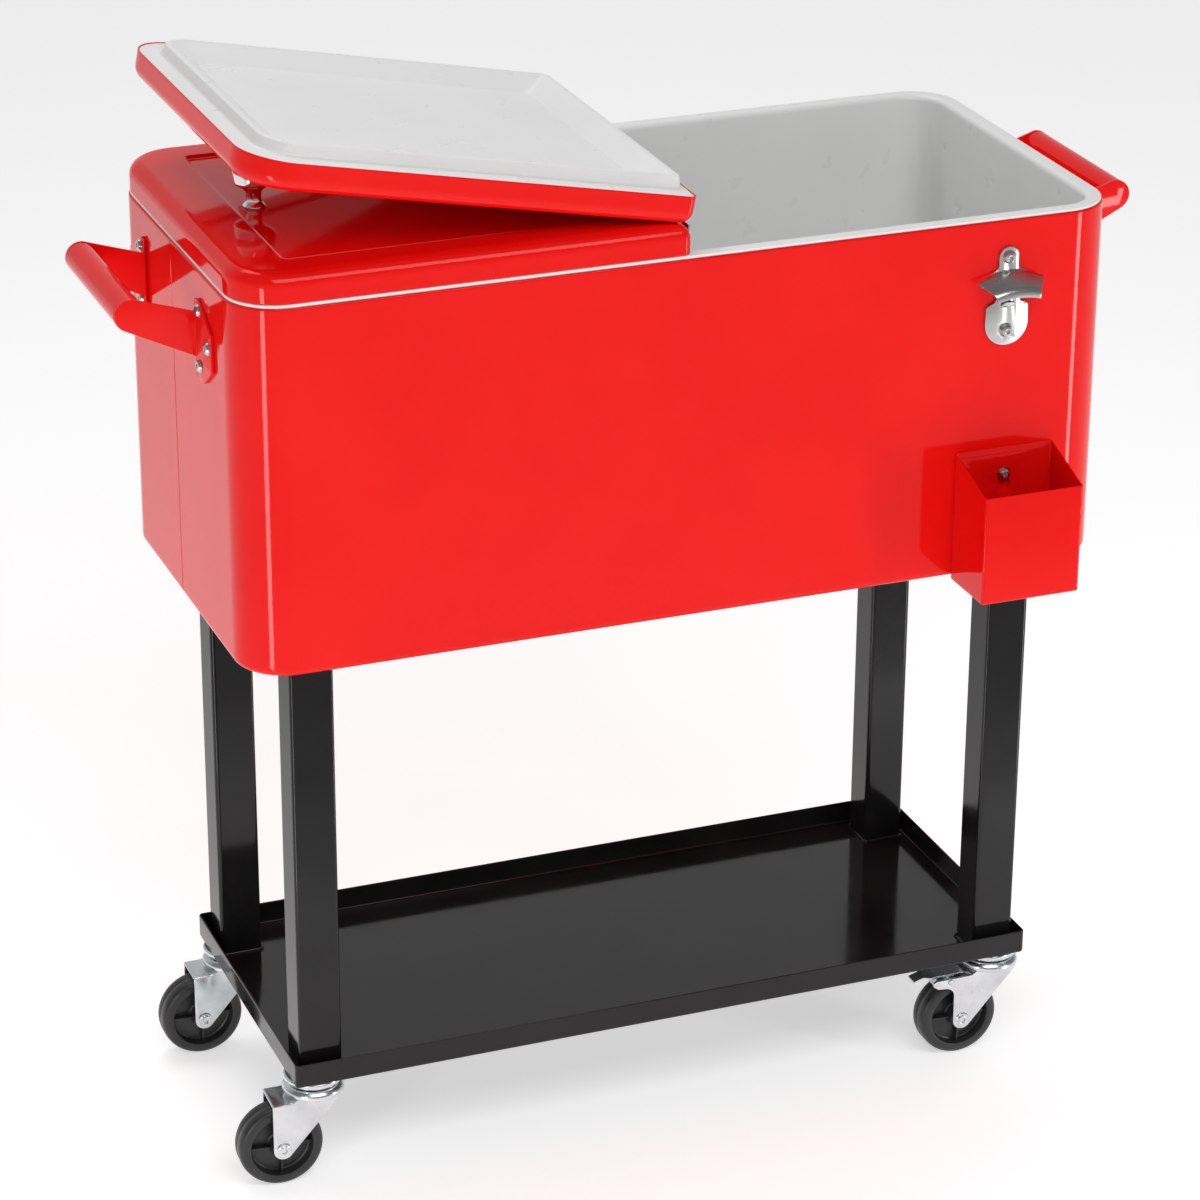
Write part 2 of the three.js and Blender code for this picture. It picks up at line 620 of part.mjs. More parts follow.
// ---- bottle opener and cap catcher on the front -------------------------------------------------
const OPENER_STEEL = 2.2;
const OPENER_FACE = -SIDE_Y - GAP;
const CATCHER_WIDTH = 91;
const CATCHER_DEPTH = 62;
const CATCHER_BACK = 116;
const CATCHER_FRONT = 97;
const CATCHER_STEEL = 1.2;
const CATCHER_LIFT = 10;

function openerPlate() {
  const shape = new THREE.Shape();
  shape.moveTo(-9, 787);
  shape.lineTo(-9, 768);
  shape.lineTo(-20, 748);
  shape.lineTo(-20, 729);
  shape.absarc(0, 729, 20, Math.PI, 2 * Math.PI, false);
  shape.lineTo(20, 748);
  shape.lineTo(9, 768);
  shape.lineTo(9, 787);
  shape.absarc(0, 787, 9, 0, Math.PI, false);
  return uprightSlab(shape, OPENER_FACE - OPENER_STEEL, OPENER_FACE);
}

// The hood: a bent strip, seen from the side as an arc, trimmed to its outline from the front.
function openerHood() {
  const radius = 24;
  const profile = new THREE.Shape();
  profile.absarc(0, 0, radius, Math.PI / 2, Math.PI, false);
  profile.absarc(0, 0, radius - OPENER_STEEL, Math.PI, Math.PI / 2, true);
  const strip = slab(profile, -30, 30, 10).rotate([90, 0, 90]);
  const front = new THREE.Shape();
  front.moveTo(-9, 778);
  front.lineTo(-29, 763);
  front.lineTo(-24, 750);
  front.absarc(0, 716, 38, Math.PI * 0.64, Math.PI * 0.36, true);
  front.lineTo(24, 750);
  front.lineTo(29, 763);
  front.lineTo(9, 778);
  const trim = uprightSlab(front, OPENER_FACE - 40, OPENER_FACE);
  return strip.translate([0, OPENER_FACE, 752]).intersect(trim);
}

function wallScrew(x, z, stand) {
  const head = 4.8;
  return turned([
    [0, -SCREW_LENGTH + 1], [SCREW_SHAFT, -SCREW_LENGTH + 1], [SCREW_SHAFT, stand], [head, stand],
    [head, stand + 1.2], [0, stand + 3],
  ], 12).rotate([90, 0, 0]).translate([x, -SIDE_Y, z]);
}

function buildOpener(parent) {
  let opener = openerPlate().add(openerHood()).translate([OPENER_X, 0, 0]);
  for (const z of OPENER_SCREW_Z) {
    opener = opener.subtract(rod('y', SCREW_SHAFT + GAP, -SIDE_Y - 8, -SIDE_Y + 2, OPENER_X, z, 12));
  }
  add(parent, 'bottle_opener', opener, STAINLESS);
  const stand = GAP + OPENER_STEEL + GAP;
  add(parent, 'opener_upper_screw', wallScrew(OPENER_X, OPENER_SCREW_Z[0], stand), STAINLESS);
  add(parent, 'opener_lower_screw', wallScrew(OPENER_X, OPENER_SCREW_Z[1], stand), STAINLESS);
}

function buildCatcher(parent) {
  const half = CATCHER_WIDTH / 2;
  const back = -SIDE_Y - GAP;
  const front = back - CATCHER_DEPTH;
  const bottom = TUB_BOTTOM - 2;
  const t = CATCHER_STEEL;
  const body = box(-half, half, front, back, bottom, bottom + CATCHER_BACK);
  const hollow = box(-half + t, half - t, front + t, back - t, bottom + t, bottom + CATCHER_BACK + 5);
  const slope = new THREE.Shape();
  slope.moveTo(front - 5, bottom + CATCHER_FRONT);
  slope.lineTo(front + 8, bottom + CATCHER_FRONT);
  slope.lineTo(back - t, bottom + CATCHER_BACK - 1);
  slope.lineTo(back - t, bottom + CATCHER_BACK + 5);
  slope.lineTo(front - 5, bottom + CATCHER_BACK + 5);
  const cutter = slab(slope, -half - 5, half + 5).rotate([90, 0, 90]);
  const slot = box(-SCREW_SHAFT - 0.5, SCREW_SHAFT + 0.5, back - 5, back + 5,
    CATCHER_SCREW_Z - CATCHER_LIFT, CATCHER_SCREW_Z);
  const slotTop = rod('y', SCREW_SHAFT + 0.5, back - 5, back + 5, 0, CATCHER_SCREW_Z, 16);
  const entry = rod('y', 5.4, back - 5, back + 5, 0, CATCHER_SCREW_Z - CATCHER_LIFT, 20);
  const keyhole = slot.add(slotTop).add(entry);
  const catcher = body.subtract(hollow).subtract(cutter).subtract(keyhole);
  add(parent, 'cap_catcher', catcher.translate([CATCHER_X, 0, 0]), RED);
  add(parent, 'catcher_screw', wallScrew(CATCHER_X, CATCHER_SCREW_Z, GAP + t + GAP), STAINLESS);
}

// ---- the whole cooler, centred on its floor print ------------------------------------------------
const FRONT_REACH = -SIDE_Y - GAP - CATCHER_DEPTH;
const cooler = new THREE.Group();
cooler.position.y = -(FRONT_REACH + SIDE_Y) / 2;
buildTub(cooler);
buildDrain(cooler);
buildLids(cooler);
buildShelf(cooler);
buildCasters(cooler);
buildHandles(cooler);
buildOpener(cooler);
buildCatcher(cooler);
cooler.updateMatrixWorld(true);

export default cooler;
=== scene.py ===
"""A rolling patio cooler: a red enamelled tub with two flip-over lids on a leg stand with casters.

Shapes are drawn in millimetres and turned into metres when a piece is made. Places and outer
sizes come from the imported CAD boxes, so each piece lies where its CAD node lies.
"""

import json
import math
from collections import namedtuple

import bmesh
import bpy
from mathutils import Matrix, Vector


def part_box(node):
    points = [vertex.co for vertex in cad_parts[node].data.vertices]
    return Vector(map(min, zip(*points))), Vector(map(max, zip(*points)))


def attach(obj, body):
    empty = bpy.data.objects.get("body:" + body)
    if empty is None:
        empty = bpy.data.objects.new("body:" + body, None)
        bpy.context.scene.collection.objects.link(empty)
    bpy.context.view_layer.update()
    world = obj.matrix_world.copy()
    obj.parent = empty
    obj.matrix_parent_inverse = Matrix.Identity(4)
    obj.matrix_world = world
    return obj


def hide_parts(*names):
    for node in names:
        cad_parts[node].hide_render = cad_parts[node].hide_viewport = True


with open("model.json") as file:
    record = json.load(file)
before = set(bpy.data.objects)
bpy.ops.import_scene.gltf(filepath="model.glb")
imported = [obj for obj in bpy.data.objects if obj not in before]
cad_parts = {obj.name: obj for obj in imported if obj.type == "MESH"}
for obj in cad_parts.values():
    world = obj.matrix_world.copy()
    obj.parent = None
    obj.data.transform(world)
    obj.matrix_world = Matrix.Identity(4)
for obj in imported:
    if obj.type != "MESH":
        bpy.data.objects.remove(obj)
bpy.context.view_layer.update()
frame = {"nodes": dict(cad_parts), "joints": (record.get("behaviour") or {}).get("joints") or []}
SCENE = bpy.context.scene
MM = 0.001
QUARTER = math.pi / 2

Box = namedtuple("Box", "x0 x1 y0 y1 z0 z1")
Area = namedtuple("Area", "x0 x1 y0 y1 near far")
JOINTS = {joint["name"]: joint for joint in frame["joints"]}


def mm_box(node):
    """The CAD node's box, in millimetres."""
    low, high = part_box(node)
    return Box(low.x / MM, high.x / MM, low.y / MM, high.y / MM, low.z / MM, high.z / MM)


def joint_place(name):
    """A joint's point, in millimetres."""
    return Vector(JOINTS[name]["pos_m"]) / MM


def rest_area(node, near, far):
    box = mm_box(node)
    return Area(box.x0, box.x1, box.y0, box.y1, near, far)


# ---- materials -------------------------------------------------------------------------------


class Nodes:
    """A short way to write a node material."""

    def __init__(self, name):
        self.material = bpy.data.materials.new(name)
        self.material.use_nodes = True
        self.tree = self.material.node_tree
        self.shader = self.tree.nodes["Principled BSDF"]
        self.place = self.tree.nodes.new("ShaderNodeTexCoord").outputs["Object"]

    def socket(self, **values):
        for label, value in values.items():
            self.shader.inputs[label.replace("_", " ")].default_value = value

    def stretch(self, scale):
        mapping = self.tree.nodes.new("ShaderNodeMapping")
        mapping.inputs["Scale"].default_value = scale
        self.tree.links.new(self.place, mapping.inputs["Vector"])
        return mapping.outputs["Vector"]

    def noise(self, scale, detail=2.0, stretch=None, rough=0.5):
        node = self.tree.nodes.new("ShaderNodeTexNoise")
        node.inputs["Scale"].default_value = scale
        node.inputs["Detail"].default_value = detail
        node.inputs["Roughness"].default_value = rough
        vector = self.stretch(stretch) if stretch else self.place
        self.tree.links.new(vector, node.inputs["Vector"])
        return node.outputs["Fac"]

    def spots(self, scale):
        node = self.tree.nodes.new("ShaderNodeTexVoronoi")
        node.inputs["Scale"].default_value = scale
        self.tree.links.new(self.place, node.inputs["Vector"])
        return node.outputs["Distance"]

    def colours(self, factor, low, high, start=0.3, end=0.7):
        ramp = self.tree.nodes.new("ShaderNodeValToRGB")
        ramp.color_ramp.elements[0].position = start
        ramp.color_ramp.elements[1].position = end
        ramp.color_ramp.elements[0].color = (*low, 1)
        ramp.color_ramp.elements[1].color = (*high, 1)
        self.tree.links.new(factor, ramp.inputs["Fac"])
        self.tree.links.new(ramp.outputs["Color"], self.shader.inputs["Base Color"])

    def span(self, factor, low, high, label):
        node = self.tree.nodes.new("ShaderNodeMapRange")
        node.inputs["From Min"].default_value = 0.3
        node.inputs["From Max"].default_value = 0.7
        node.inputs["To Min"].default_value = low
        node.inputs["To Max"].default_value = high
        self.tree.links.new(factor, node.inputs["Value"])
        self.tree.links.new(node.outputs["Result"], self.shader.inputs[label])

    def bump(self, height, distance, strength=1.0, under=None):
        node = self.tree.nodes.new("ShaderNodeBump")
        node.inputs["Distance"].default_value = distance
        node.inputs["Strength"].default_value = strength
        self.tree.links.new(height, node.inputs["Height"])
        if under:
            self.tree.links.new(under, node.inputs["Normal"])
        self.tree.links.new(node.outputs["Normal"], self.shader.inputs["Normal"])
        return node.outputs["Normal"]


def red_enamel():
    look = Nodes("red_enamel")
    look.colours(look.noise(9, 3), (0.80, 0.004, 0.003), (0.84, 0.007, 0.005))
    look.span(look.noise(60, 4), 0.045, 0.085, "Roughness")
    waves = look.bump(look.noise(5, 1), 0.0012, 0.35)
    look.bump(look.noise(420, 1), 0.00003, 0.35, waves)
    look.socket(IOR=1.3)
    return look.material


def black_enamel():
    look = Nodes("black_enamel")
    look.colours(look.noise(12, 3), (0.006, 0.006, 0.006), (0.010, 0.010, 0.010))
    look.span(look.noise(45, 4), 0.07, 0.15, "Roughness")
    waves = look.bump(look.noise(6, 1), 0.0012, 0.25)
    look.bump(look.noise(420, 1), 0.00003, 0.25, waves)
    look.socket(IOR=1.4)
    return look.material


def white_plastic():
    look = Nodes("white_moulded_plastic")
    look.colours(look.noise(6, 3), (0.82, 0.82, 0.815), (0.86, 0.86, 0.855))
    look.span(look.noise(35, 4), 0.26, 0.40, "Roughness")
    look.bump(look.noise(160, 1), 0.00003, 0.1)
    return look.material


def insulation_foam():
    look = Nodes("insulation_foam")
    look.colours(look.noise(30, 4), (0.72, 0.66, 0.50), (0.86, 0.81, 0.68))
    look.socket(Roughness=0.9)
    look.bump(look.spots(650), 0.0006, 0.8)
    return look.material


def bright_zinc():
    look = Nodes("bright_zinc")
    look.colours(look.noise(40, 4), (0.56, 0.59, 0.61), (0.72, 0.74, 0.75))
    look.span(look.noise(90, 4), 0.16, 0.30, "Roughness")
    look.bump(look.noise(35, 1), 0.0002, 0.08)
    look.socket(Metallic=1.0)
    return look.material


def satin_stainless():
    look = Nodes("satin_stainless")
    look.colours(look.noise(30, 4), (0.44, 0.435, 0.43), (0.56, 0.555, 0.55))
    look.span(look.noise(500, 2, (0.05, 1, 1)), 0.16, 0.28, "Roughness")
    look.bump(look.noise(900, 2, (0.04, 1, 1)), 0.00002, 0.4)
    look.socket(Metallic=1.0)
    return look.material


def bright_chrome():
    look = Nodes("bright_chrome")
    look.colours(look.noise(20, 2), (0.80, 0.80, 0.81), (0.88, 0.88, 0.88))
    look.span(look.noise(80, 4), 0.03, 0.09, "Roughness")
    look.bump(look.noise(60, 1), 0.0003, 0.2)
    look.socket(Metallic=1.0)
    return look.material


def wheel_plastic():
    look = Nodes("wheel_plastic")
    look.colours(look.noise(60, 4), (0.010, 0.0105, 0.011), (0.022, 0.0225, 0.024))
    look.span(look.noise(120, 4), 0.30, 0.50, "Roughness")
    scuffs = look.bump(look.noise(160, 4), 0.0002, 0.3)
    look.bump(look.noise(900, 2), 0.00004, 0.5, scuffs)
    return look.material


def drain_plastic():
    look = Nodes("drain_plastic")
    look.colours(look.noise(50, 3), (0.014, 0.014, 0.014), (0.024, 0.024, 0.024))
    look.span(look.noise(90, 4), 0.36, 0.5, "Roughness")
    look.bump(look.noise(1300, 2), 0.00005, 0.6)
    return look.material


LOOKS = {
    "red_paint": red_enamel(),
    "black_paint": black_enamel(),
    "white_liner": white_plastic(),
    "foam": insulation_foam(),
    "zinc": bright_zinc(),
    "stainless": satin_stainless(),
    "chrome": bright_chrome(),
    "wheel_plastic": wheel_plastic(),
    "drain_plastic": drain_plastic(),
}


# ---- making pieces ---------------------------------------------------------------------------


def piece(name, solid, slot, body, nodes=(), place=None, sharp=32):
    """Turns a bmesh drawn in millimetres into a named piece that rides on a body."""
    bmesh.ops.remove_doubles(solid, verts=solid.verts, dist=1e-4)
    bmesh.ops.recalc_face_normals(solid, faces=solid.faces)
    to_metres = Matrix.Scale(MM, 4) @ (place or Matrix())
    bmesh.ops.transform(solid, matrix=to_metres, verts=solid.verts)
    if to_metres.determinant() < 0:
        bmesh.ops.reverse_faces(solid, faces=solid.faces)
    mesh = bpy.data.meshes.new(name)
    solid.to_mesh(mesh)
    solid.free()
    for face in mesh.polygons:
        face.use_smooth = True
    mesh.set_sharp_from_angle(angle=math.radians(sharp))
    mesh.materials.append(LOOKS[slot])
    made = bpy.data.objects.new(name, mesh)
    SCENE.collection.objects.link(made)
    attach(made, body)
    if nodes:
        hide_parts(*nodes)
    return made


def ring(area, inset=0.0, z=0.0, steps=12, guard=1.2, seam=None):
    """Points round a rectangle with rounded corners. A guard point on each side of a corner keeps
    the flat faces flat in smooth shading. seam=(y, depth) adds a notch on both end sides."""
    corners = (
        (area.x1, area.y0, area.far, -1, 1, -QUARTER),
        (area.x1, area.y1, area.far, -1, -1, 0),
        (area.x0, area.y1, area.near, 1, -1, QUARTER),
        (area.x0, area.y0, area.near, 1, 1, math.pi),
    )
    points = []
    for number, (cx, cy, radius, sx, sy, start) in enumerate(corners):
        r = max(radius - inset, 0.4)
        px = cx + sx * (inset + r)
        py = cy + sy * (inset + r)
        for i in range(-1, steps + 2):
            angle = start + QUARTER * min(max(i, 0), steps) / steps
            slide = -guard if i < 0 else guard if i > steps else 0
            x = px + r * math.cos(angle) - slide * math.sin(angle)
            y = py + r * math.sin(angle) + slide * math.cos(angle)
            points.append(Vector((x, y, z)))
        if seam and number in (0, 2):
            outward = 1 if number == 0 else -1
            x = points[-1].x
            for offset, depth in ((-0.9, 0), (-0.4, seam[1]), (0.4, seam[1]), (0.9, 0)):
                points.append(Vector((x - outward * depth, seam[0] + outward * offset, z)))
    return points


def loft(rings, caps=(True, True), closed=False):
    """A skin through rings of equal point count."""
    solid = bmesh.new()
    rows = [[solid.verts.new(point) for point in points] for points in rings]
    count = len(rows[0])
    pairs = list(zip(rows, rows[1:]))
    if closed:
        pairs.append((rows[-1], rows[0]))
    for lower, upper in pairs:
        for i in range(count):
            j = (i + 1) % count
            solid.faces.new((lower[i], lower[j], upper[j], upper[i]))
    if not closed and caps[0]:
        solid.faces.new(rows[0][::-1])
    if not closed and caps[1]:
        solid.faces.new(rows[-1])
    return solid


def lathe(profile, steps=48, closed=False, shape=None):
    """A turned piece round Z from (radius, height) points. shape may change each point's radius."""
    rings = []
    for number, (radius, height) in enumerate(profile):
        points = []
        for i in range(steps):
            angle = 2 * math.pi * i / steps
            r = shape(number, angle, radius) if shape else radius
            points.append(Vector((r * math.cos(angle), r * math.sin(angle), height)))
        rings.append(points)
    return loft(rings, closed=closed)


def rounded(points, radius, steps=4):
    """A path through (a, b) points with its inner corners rounded."""
    path = [Vector(points[0])]
    for before, corner, after in zip(points, points[1:], points[2:]):
        b, c, a = Vector(before), Vector(corner), Vector(after)
        cut = min(radius, (b - c).length * 0.48, (a - c).length * 0.48)
        start = c + (b - c).normalized() * cut
        end = c + (a - c).normalized() * cut
        for i in range(steps + 1):
            t = i / steps
            path.append(start.lerp(c, t).lerp(c.lerp(end, t), t))
    path.append(Vector(points[-1]))
    return path


def round_outline(points, radius, steps=5):
    """A closed outline with every corner rounded; radius is one number or one for each corner."""
    outline = []
    count = len(points)
    for i, corner in enumerate(points):
        r = radius[i] if isinstance(radius, (list, tuple)) else radius
        trio = (points[i - 1], corner, points[(i + 1) % count])
        if r > 0:
            outline += rounded(trio, r, steps)[1:-1]
        else:
            outline.append(Vector(corner))
    return outline


def arc(cx, cy, radius, start, end, steps=10):
    """Points on an arc, angles in degrees."""
    points = []
    for i in range(steps + 1):
        angle = math.radians(start + (end - start) * i / steps)
        points.append(Vector((cx + radius * math.cos(angle), cy + radius * math.sin(angle))))
    return points


def plate(outline, depth, holes=(), bevel=0.3, cuts=()):
    """A flat sheet in XY from z 0 to depth, with holes, softened edges and optional cuts along X."""
    solid = bmesh.new()
    edges = []
    for loop in (outline, *holes):
        verts = [solid.verts.new((p[0], p[1], 0)) for p in loop]
        edges += [solid.edges.new((verts[i - 1], verts[i])) for i in range(len(verts))]
    bmesh.ops.triangle_fill(solid, edges=edges, use_beauty=True, use_dissolve=False)
    if not cuts:
        bmesh.ops.dissolve_limit(solid, angle_limit=0.01, verts=solid.verts, edges=solid.edges)
    for x in cuts:
        geometry = solid.verts[:] + solid.edges[:] + solid.faces[:]
        bmesh.ops.bisect_plane(solid, geom=geometry, plane_co=(x, 0, 0), plane_no=(1, 0, 0))
    raised = bmesh.ops.extrude_face_region(solid, geom=solid.faces[:])
    top = [item for item in raised["geom"] if isinstance(item, bmesh.types.BMVert)]
    bmesh.ops.translate(solid, verts=top, vec=(0, 0, depth))
    bmesh.ops.recalc_face_normals(solid, faces=solid.faces)
    if bevel:
        soften(solid, bevel)
    return solid


def soften(solid, width, segments=2, angle=50):
    """Rounds a solid's edges that are sharper than an angle."""
    limit = math.radians(angle)
    edges = [e for e in solid.edges if len(e.link_faces) == 2 and e.calc_face_angle() > limit]
    bmesh.ops.bevel(solid, geom=edges, offset=width, segments=segments, profile=0.5,
                    affect="EDGES", clamp_overlap=True)
    return solid


def block(x0, x1, y0, y1, z0, z1, bevel=0.4, segments=2):
    solid = bmesh.new()
    size = Matrix.Diagonal((x1 - x0, y1 - y0, z1 - z0, 1))
    middle = Matrix.Translation(((x0 + x1) / 2, (y0 + y1) / 2, (z0 + z1) / 2))
    bmesh.ops.create_cube(solid, size=1, matrix=middle @ size)
    return soften(solid, bevel, segments) if bevel else solid


def moved(solid, matrix):
    bmesh.ops.transform(solid, matrix=matrix, verts=solid.verts)
    return solid


def joined(*solids):
    """Puts several closed solids into one piece."""
    first = solids[0]
    for other in solids[1:]:
        mesh = bpy.data.meshes.new("joined")
        other.to_mesh(mesh)
        other.free()
        first.from_mesh(mesh)
        bpy.data.meshes.remove(mesh)
    return first


def turn(axis, degrees):
    return Matrix.Rotation(math.radians(degrees), 4, axis)


def shift(x, y, z):
    return Matrix.Translation((x, y, z))


FACE_X = turn("Y", 90)
FACE_FRONT = turn("X", 90)
UPRIGHT = FACE_FRONT


def button_screw(head=5.6, rise=3.8, shank=2.0, length=7.0, steps=28):
    """A button head with a hexagon socket, raised along +Z from z 0, with a washer under it."""
    socket = head * 0.36

    def hexagon(number, angle, radius):
        if number in (6, 7, 8):
            side = (angle + math.pi / 6) % (math.pi / 3) - math.pi / 6
            return radius * math.cos(math.pi / 6) / math.cos(side)
        return radius

    head_profile = [
        (shank, -length), (shank, 0.2), (head, 0.9), (head * 0.97, rise * 0.45),
        (head * 0.82, rise * 0.8), (socket * 1.3, rise), (socket * 1.05, rise - 0.2),
        (socket * 0.92, rise - 2.6), (socket * 0.3, rise - 2.8),
    ]
    edge = head + 0.6
    washer = [
        (shank + 0.2, 0), (edge - 0.2, 0), (edge, 0.35), (edge - 0.2, 0.8), (shank + 0.2, 0.8),
    ]
    return joined(lathe(head_profile, steps, shape=hexagon), lathe(washer, steps, closed=True))


# ---- tub -------------------------------------------------------------------------------------

TUB = rest_area("tub_shell", 45, 45)
TUB_Z0 = mm_box("tub_shell").z0
TUB_Z1 = mm_box("tub_shell").z1
MID_Y = (TUB.y0 + TUB.y1) / 2
RIM_TOP = mm_box("tub_liner").z1
WALL = 15.5
FLOOR_WALL = 24.0
STEEL = 1.2
FOOT = 6.0
SEAM_Y = MID_Y + 14


def tub_shell():
    rings = []

    def add(inset, z, groove=0.0):
        rings.append(ring(TUB, inset, z, steps=16, seam=(SEAM_Y, groove)))

    add(FOOT + 4, TUB_Z0)
    for i in range(7):
        angle = QUARTER * i / 6
        add(FOOT * (1 - math.sin(angle)), TUB_Z0 + FOOT * (1 - math.cos(angle)), 0.7 * i / 6)
    add(0, TUB_Z0 + FOOT + 2, 0.9)
    bead = 1.4
    add(0, TUB_Z1 - bead - 2, 0.9)
    for i in range(9):
        angle = math.pi * i / 8
        add(bead * (1 - math.cos(angle)), TUB_Z1 - bead + bead * math.sin(angle), 0.9 if i < 5 else 0)
    add(2 * bead, TUB_Z1 - 12)
    add(STEEL + 0.9, TUB_Z1 - 13)
    add(STEEL + 0.9, TUB_Z0 + FOOT)
    add(FOOT, TUB_Z0 + STEEL)
    piece("tub_shell_skin", loft(rings), "red_paint", "cooler", ["tub_shell"])


def tub_liner():
    draft = 2.0
    floor_z = TUB_Z0 + FLOOR_WALL
    edge, edge_radius = 1.5, 1.2
    profile = [(edge, RIM_TOP - 2.5)]
    profile += [(edge + edge_radius * (1 - math.cos(QUARTER * i / 4)),
                 RIM_TOP - edge_radius + edge_radius * math.sin(QUARTER * i / 4)) for i in range(5)]
    profile += [(WALL - 6.5, RIM_TOP)]
    profile += [(WALL - 5 + 5 * math.sin(QUARTER * i / 6), RIM_TOP - 5 + 5 * math.cos(QUARTER * i / 6))
                for i in range(7)]
    profile += [(WALL + 0.2, RIM_TOP - 8)]
    floor_radius = 16
    wall_low = floor_z + floor_radius
    profile += [(WALL + draft, wall_low + 2)]
    profile += [(WALL + draft + floor_radius * (1 - math.cos(QUARTER * i / 6)),
                 wall_low - floor_radius * math.sin(QUARTER * i / 6)) for i in range(7)]
    profile += [(WALL + draft + floor_radius + 3, floor_z)]
    inside = [ring(TUB, inset, z, steps=16) for inset, z in profile]
    back = [(WALL + draft + floor_radius, floor_z - 2.6), (WALL - 1.5, wall_low),
            (WALL - 2.8, RIM_TOP - 12), (WALL - 2.8, RIM_TOP - 2.5)]
    outside = [ring(TUB, inset, z, steps=16) for inset, z in back]
    piece("tub_liner_skin", loft(outside + inside), "white_liner", "cooler", ["tub_liner"])


# ---- lids: drawn with the hinge line along Y through the origin and the lid towards +X -------

HINGE = joint_place("left_lid_hinge")
OPEN_DEGREES = JOINTS["right_lid_hinge"]["range_deg"][1]
LID_PLACE = {
    "left": Matrix.Translation(HINGE) @ turn("Z", 180),
    "right": Matrix.Translation(HINGE) @ turn("Y", -OPEN_DEGREES),
}
LEFT_LID = mm_box("left_lid_shell")
LID_HALF = (LEFT_LID.y1 - LEFT_LID.y0) / 2
LID = Area(HINGE.x - LEFT_LID.x1, HINGE.x - LEFT_LID.x0, -LID_HALF, LID_HALF, 8, 44)
LID_TOP = LEFT_LID.z1 - HINGE.z
LID_MOUTH = LEFT_LID.z0 - HINGE.z
PANEL = Area(46, 336, -141, 141, 6, 6)
PANEL_DEPTH = 3.0
PANEL_Z = LID_TOP - PANEL_DEPTH
RIDGE = Area(8, 366, -156, 156, 9, 30)
DISH_FLOOR = Area(50, 324, -114, 114, 8, 10)
RIDGE_HEIGHT = 10.0
DISH_DEPTH = 10.0
LINER_FACE = LID_MOUTH + 0.4
KNOB_X = HINGE.x - (mm_box("left_knob").x0 + mm_box("left_knob").x1) / 2
LID_ROUND = 12.0


def lid_shell(side):
    """The pressed sheet: its outer skin and its inner skin, joined along the hem."""
    hem = 0.6
    outer = []
    for i in range(7):
        angle = math.pi * i / 6
        outer.append(ring(LID, hem * (1 + math.cos(angle)), LID_MOUTH + hem * (1 - math.sin(angle))))
    outer.append(ring(LID, 0, LID_MOUTH + hem + 1))
    outer.append(ring(LID, 0, LID_TOP - LID_ROUND - 1))
    for i in range(11):
        angle = QUARTER * i / 10
        inset = LID_ROUND * (1 - math.cos(angle))
        outer.append(ring(LID, inset, LID_TOP - LID_ROUND * (1 - math.sin(angle))))
    outer.append(ring(LID, LID_ROUND + 2, LID_TOP))
    step = rounded([(-4, LID_TOP), (0, LID_TOP), (1.8, PANEL_Z), (7, PANEL_Z)], 1.5, 4)
    outer += [ring(PANEL, inset, z) for inset, z in step]
    outer.append(ring(PANEL, 18, PANEL_Z))
    under = [(18, PANEL_Z - STEEL), (7, PANEL_Z - STEEL), (1.8, PANEL_Z - STEEL), (0, LID_TOP - STEEL)]
    inner = [ring(PANEL, inset, z) for inset, z in under]
    inner.append(ring(LID, LID_ROUND, LID_TOP - STEEL))
    inner.append(ring(LID, STEEL + 4, LID_TOP - 5))
    inner.append(ring(LID, 2 * hem, LID_TOP - LID_ROUND))
    solid = joined(loft(outer, caps=(False, True)), loft(inner, caps=(True, False)))
    bmesh.ops.remove_doubles(solid, verts=solid.verts, dist=1e-4)
    open_edges = [edge for edge in solid.edges if edge.is_boundary]
    bmesh.ops.bridge_loops(solid, edges=open_edges)
    body = f"{side}_lid"
    piece(f"{side}_lid_skin", solid, "red_paint", body, [f"{side}_lid_shell"], LID_PLACE[side])


def lid_liner(side):
    """The moulded plate: a flange, a ridge that plugs the tub's mouth, and a dish inside it."""
    face = LINER_FACE
    back = face + 2.5
    tip = face - RIDGE_HEIGHT
    crest = 6.5
    floor = face + DISH_DEPTH
    rings = [ring(LID, 1.8, back), ring(LID, 1.5, back - 0.4), ring(LID, 1.5, face + 0.8)]
    rings += [ring(LID, 1.8, face + 0.25), ring(LID, 2.4, face)]
    climb = rounded([(-5, face), (-0.5, face), (2.0, tip), (4.4, tip), (crest, tip)], 2.6, 6)
    rings += [ring(RIDGE, inset, z) for inset, z in climb[:-1]]
    lip = ring(RIDGE, crest, tip)
    foot = ring(DISH_FLOOR, 0, floor)
    middle = ring(DISH_FLOOR, 8, floor)
    bend = 0.06
    crown = RIDGE_HEIGHT * 0.03
    for i in range(5):
        t = i / 4
        start = [a.lerp(b, bend * t) for a, b in zip(lip, foot)]
        lift = crown * (1 - t) ** 2
        rings.append([Vector((point.x, point.y, point.z - lift)) for point in start])
    for i in range(1, 6):
        t = bend + (1 - 2 * bend) * i / 6
        rings.append([a.lerp(b, t) for a, b in zip(lip, foot)])
    for i in range(6):
        t = i / 5
        slope = [a.lerp(b, 1 - bend + bend * t) for a, b in zip(lip, foot)]
        flat = [a.lerp(b, 0.5 * t) for a, b in zip(foot, middle)]
        rings.append([a.lerp(b, t) for a, b in zip(slope, flat)])
    rings.append(middle)
    piece(f"{side}_lid_liner_skin", loft(rings), "white_liner", f"{side}_lid",
          [f"{side}_lid_liner"], LID_PLACE[side])


